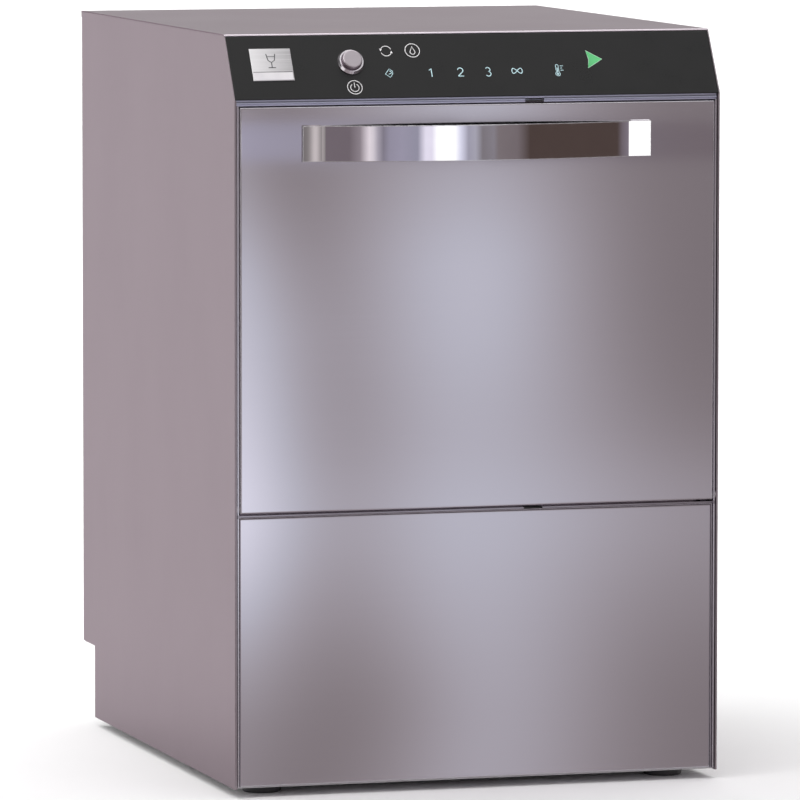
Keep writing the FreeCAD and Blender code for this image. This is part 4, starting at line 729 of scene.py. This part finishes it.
def screen_light(x, z):
    """Light of the screen at x across and z up, in metres: a glow at the left and one in the middle."""
    if z > 0.22:
        left = 1.16 * bell(z, 0.22, 0.29) + 0.1 * bell(z, 0.43, 0.06)
    else:
        left = 0.15 + 1.01 * bell(z, 0.22, 0.15)
    left_width = 0.082 - 0.18 * max(0.0, z - 0.37)
    middle = 0.44 + 0.30 * bell(z, 0.425, 0.165 if z < 0.425 else 0.085) + 0.2 * bell(z, 0.6, 0.035)
    centre = 0.165 + 0.025 * bell(z, 0.0, 0.1)
    if x < centre:
        middle_width = 0.10 + min(0.033, max(0.0, 0.12 * z))
    else:
        middle_width = 0.12 + 0.045 * bell(z, 0.21, 0.12)
    level = 0.42 + 0.15 * bell(z, 0.135, 0.10) + 0.10 * bell(z, 0.195, 0.06)
    level += left * bell(x, -0.096, left_width) + middle * bell(x, centre, middle_width)
    # its dim parts are warm and its bright parts cool
    share = min(1.0, max(0.0, (level - 0.45) / 0.65))
    warm, cool = (1.05, 0.93, 0.955), (0.965, 0.985, 1.085)
    return tuple(level * (a + (b - a) * share) for a, b in zip(warm, cool))


STRIP_POWER = 1.86
# colours of the strip lights, each at the place along the handle where it is seen
STRIP_LIGHTS = (
    (-1.20, (0.17, 0.14, 0.16)), (-0.82, (0.17, 0.14, 0.16)), (-0.75, (0.28, 0.24, 0.27)),
    (-0.69, (0.79, 0.72, 0.77)), (-0.665, (0.68, 0.63, 0.68)), (-0.635, (0.40, 0.37, 0.43)),
    (-0.60, (0.23, 0.21, 0.26)), (-0.56, (0.31, 0.29, 0.37)), (-0.48, (0.34, 0.32, 0.41)),
    (-0.38, (0.31, 0.30, 0.38)), (-0.33, (0.82, 0.78, 0.91)), (-0.29, (0.82, 0.78, 0.91)),
    (-0.25, (1.2, 1.2, 1.2)), (-0.15, (1.2, 1.2, 1.2)), (-0.11, (0.75, 0.75, 0.90)),
    (-0.06, (0.36, 0.35, 0.43)), (-0.015, (0.40, 0.39, 0.46)), (0.03, (0.21, 0.19, 0.21)),
    (0.10, (0.24, 0.22, 0.25)), (0.13, (0.20, 0.17, 0.18)), (0.25, (0.18, 0.15, 0.16)),
    (0.33, (0.075, 0.053, 0.048)), (0.90, (0.075, 0.053, 0.048)), (0.96, (0.23, 0.20, 0.24)),
    (1.05, (0.23, 0.20, 0.24)),
)
BOW_SHIFT = 0.049             # how far the bow moves what is seen in its middle to the right


def strip_place(along):
    return handle_sight(along - BOW_SHIFT * (1 - along * along), LIGHTS_GAP)[0]


strip_places = [(strip_place(along), light) for along, light in STRIP_LIGHTS]


def strip_light(x, z):
    """Light of the row of strip lights at x across. They stand upright, so z changes nothing."""
    for (start, first), (end, second) in zip(strip_places, strip_places[1:]):
        if x <= end:
            share = max(0.0, (x - start) / (end - start))
            return tuple(STRIP_POWER * (a + (b - a) * share) for a, b in zip(first, second))
    return tuple(STRIP_POWER * c for c in STRIP_LIGHTS[-1][1])


slit_places = [handle_sight(0.02 * k, SCREEN_GAP) for k in range(-58, 59)]


def slit_height(x):
    """Height of the slit in the screen at x, on the line from the handle to the strip lights."""
    for (start, first), (end, second) in zip(slit_places, slit_places[1:]):
        if start <= x <= end:
            return first + (second - first) * (x - start) / (end - start)
    return -1.0


def glow_material(name):
    """A material that shines in the colours stored at a mesh's points."""
    s = Shader(name)
    emission = s.add("ShaderNodeEmission")
    attribute = s.add("ShaderNodeAttribute")
    attribute.attribute_name = "glow"
    s.join(attribute.outputs["Color"], emission.inputs["Color"])
    output = [n for n in s.tree.nodes if n.type == "OUTPUT_MATERIAL"][0]
    s.join(emission.outputs["Emission"], output.inputs["Surface"])
    return s.material


screen_glow = glow_material("studio_screen")
strips_glow = glow_material("studio_strips")


def glowing(name, points, faces, colours, material, only_reflected):
    """A studio light that the camera doesn't see, and that lights nothing when it is only reflected."""
    obj = mesh_object(name, points, faces)
    layer = obj.data.color_attributes.new("glow", "FLOAT_COLOR", "POINT")
    for k, colour in enumerate(colours):
        layer.data[k].color = colour + (1.0,)
    obj.data.materials.append(material)
    obj.visible_camera = False
    if only_reflected:
        obj.visible_diffuse = False
        obj.visible_shadow = False


def wall_points(gap, across, up, columns, rows, light):
    """Points and colours of an upright grid in front of the machine."""
    points, colours = [], []
    for r in range(rows + 1):
        z = up[0] + (up[1] - up[0]) * r / rows
        for c in range(columns + 1):
            x = across[0] + (across[1] - across[0]) * c / columns
            points.append((x, FRONT_Y - gap, z))
            colours.append(light(x, z))
    return points, colours


def screen():
    """The lit screen, with its slit left open."""
    across, up, columns, rows = (-1.2, 1.8), (0.0, 1.2), 200, 480
    points, colours = wall_points(SCREEN_GAP, across, up, columns, rows, screen_light)
    heights = []
    for c in range(columns):
        heights.append(slit_height(across[0] + (across[1] - across[0]) * (c + 0.5) / columns))
    faces = []
    for k, face in enumerate(grid_faces(columns, rows)):
        z = up[0] + (up[1] - up[0]) * (k // columns + 0.5) / rows
        if abs(z - heights[k % columns]) >= SLIT_HALF_HEIGHT:
            faces.append(face)
    glowing("studio_screen", points, faces, colours, screen_glow, False)


def strips():
    """The row of strip lights, as one wall of upright bands."""
    columns = 3000
    points, colours = wall_points(LIGHTS_GAP, (-2.4, 7.9), (0.0, 0.6), columns, 1, strip_light)
    glowing("studio_strips", points, grid_faces(columns, 1), colours, strips_glow, False)


def apron():
    """The lower end of the screen's glow, laid on the floor between it and the machine."""
    columns, rows = 120, 24
    near, reach, height = 0.04, 0.5, 0.004
    across_slope, down_slope = 0.31, 0.147
    points, colours = [], []
    for r in range(rows + 1):
        out = near + reach * r / rows
        beyond = SCREEN_GAP - out
        for c in range(columns + 1):
            x = -0.9 + 2.2 * c / columns
            points.append((x, FRONT_Y - out, height))
            colours.append(screen_light(x + across_slope * beyond, -down_slope * beyond))
    faces = turned_over(grid_faces(columns, rows))
    glowing("studio_apron", points, faces, colours, screen_glow, True)


def foot_card(name, side, light):
    """A small card close in front of one flat foot of the handle."""
    columns = 24
    points, faces, colours = [], [], []
    for c in range(columns + 1):
        share = c / columns
        x = HANDLE_X + side * (HANDLE_ARC + HANDLE_FOOT * share) + CARD_SHIFT
        for z in (HANDLE_Z - CARD_HALF_HEIGHT, HANDLE_Z + CARD_HALF_HEIGHT):
            points.append((x, FRONT_Y - HANDLE_THICK - CARD_GAP, z))
            colours.append(light(share))
    for c in range(columns):
        faces.append((2 * c, 2 * c + 2, 2 * c + 3, 2 * c + 1))
    glowing(name, points, faces, colours, screen_glow, True)


def left_card_light(share):
    level = 0.34 + 0.66 * bell(share, 0.36, 0.27)
    return (level * 1.06, level * 0.96, level * 0.97)


def right_card_light(share):
    return (2.6, 2.6, 2.6)


screen()
strips()
apron()
foot_card("studio_left_card", -1, left_card_light)
foot_card("studio_right_card", 1, right_card_light)


def floor():
    """Large pale floor."""
    reach, count = 70.0, 28
    points = []
    for r in range(count + 1):
        for c in range(count + 1):
            points.append((-reach + 2 * reach * c / count, -reach + 2 * reach * r / count, 0.0))
    obj = mesh_object("studio_floor", points, grid_faces(count, count))
    s = Shader("pale_floor")
    s.set("Specular IOR Level", 0.0)
    mottle = s.noise((3.0, 3.0, 3.0), 3.0)
    tone = s.mix(s.spread(mottle, 0.0, 1.0), (0.93, 0.93, 0.93), (0.95, 0.95, 0.95))
    obj.data.materials.append(s.finish(tone, s.spread(mottle, 0.85, 0.95)))


floor()

# ---- light from all round ------------------------------------------------------------------------
world = bpy.data.worlds.new("studio")
bpy.context.scene.world = world
world.use_nodes = True
sky = world.node_tree
background = sky.nodes["Background"]
background.inputs["Color"].default_value = (1.0, 1.0, 1.0, 1.0)
direction = sky.nodes.new("ShaderNodeTexCoord").outputs["Generated"]


def toward(axis, outer, inner, low, high):
    """low beyond outer degrees from axis and high within inner degrees of it."""
    dot = sky.nodes.new("ShaderNodeVectorMath")
    dot.operation = "DOT_PRODUCT"
    sky.links.new(direction, dot.inputs[0])
    dot.inputs[1].default_value = Vector(axis).normalized()
    spread = sky.nodes.new("ShaderNodeMapRange")
    spread.interpolation_type = "SMOOTHSTEP"
    sky.links.new(dot.outputs["Value"], spread.inputs["Value"])
    spread.inputs["From Min"].default_value = math.cos(math.radians(outer))
    spread.inputs["From Max"].default_value = math.cos(math.radians(inner))
    spread.inputs["To Min"].default_value = low
    spread.inputs["To Max"].default_value = high
    return spread.outputs["Result"]


def summed(first, second):
    node = sky.nodes.new("ShaderNodeMath")
    sky.links.new(first, node.inputs[0])
    sky.links.new(second, node.inputs[1])
    return node.outputs["Value"]


overhead = toward((-0.1, 0.1, 0.99), 50, 30, 0.0, 1.7)
left_box = toward((-0.6, -0.6, 0.53), 32, 18, 0.0, 2.0)
sides = toward((0.0, 0.0, 1.0), 78, 68, 1.14, 0.45)
sky.links.new(summed(summed(overhead, left_box), sides), background.inputs["Strength"])

bpy.context.scene.view_settings.view_transform = "Standard"
bpy.context.scene.view_settings.look = "None"

# ---- camera --------------------------------------------------------------------------------------
lens = bpy.data.cameras.new("camera")
lens.sensor_width = 36.0
lens.lens = 340.09
lens.clip_end = 300.0
camera = bpy.data.objects.new("camera", lens)
bpy.context.scene.collection.objects.link(camera)
camera.location = CAMERA
aim = Vector((0.28840, 0.95281, -0.09473)).to_track_quat("-Z", "Y")
camera.rotation_mode = "QUATERNION"
camera.rotation_quaternion = aim @ Quaternion((0.0, 0.0, 1.0), math.radians(0.058))
bpy.context.scene.camera = camera
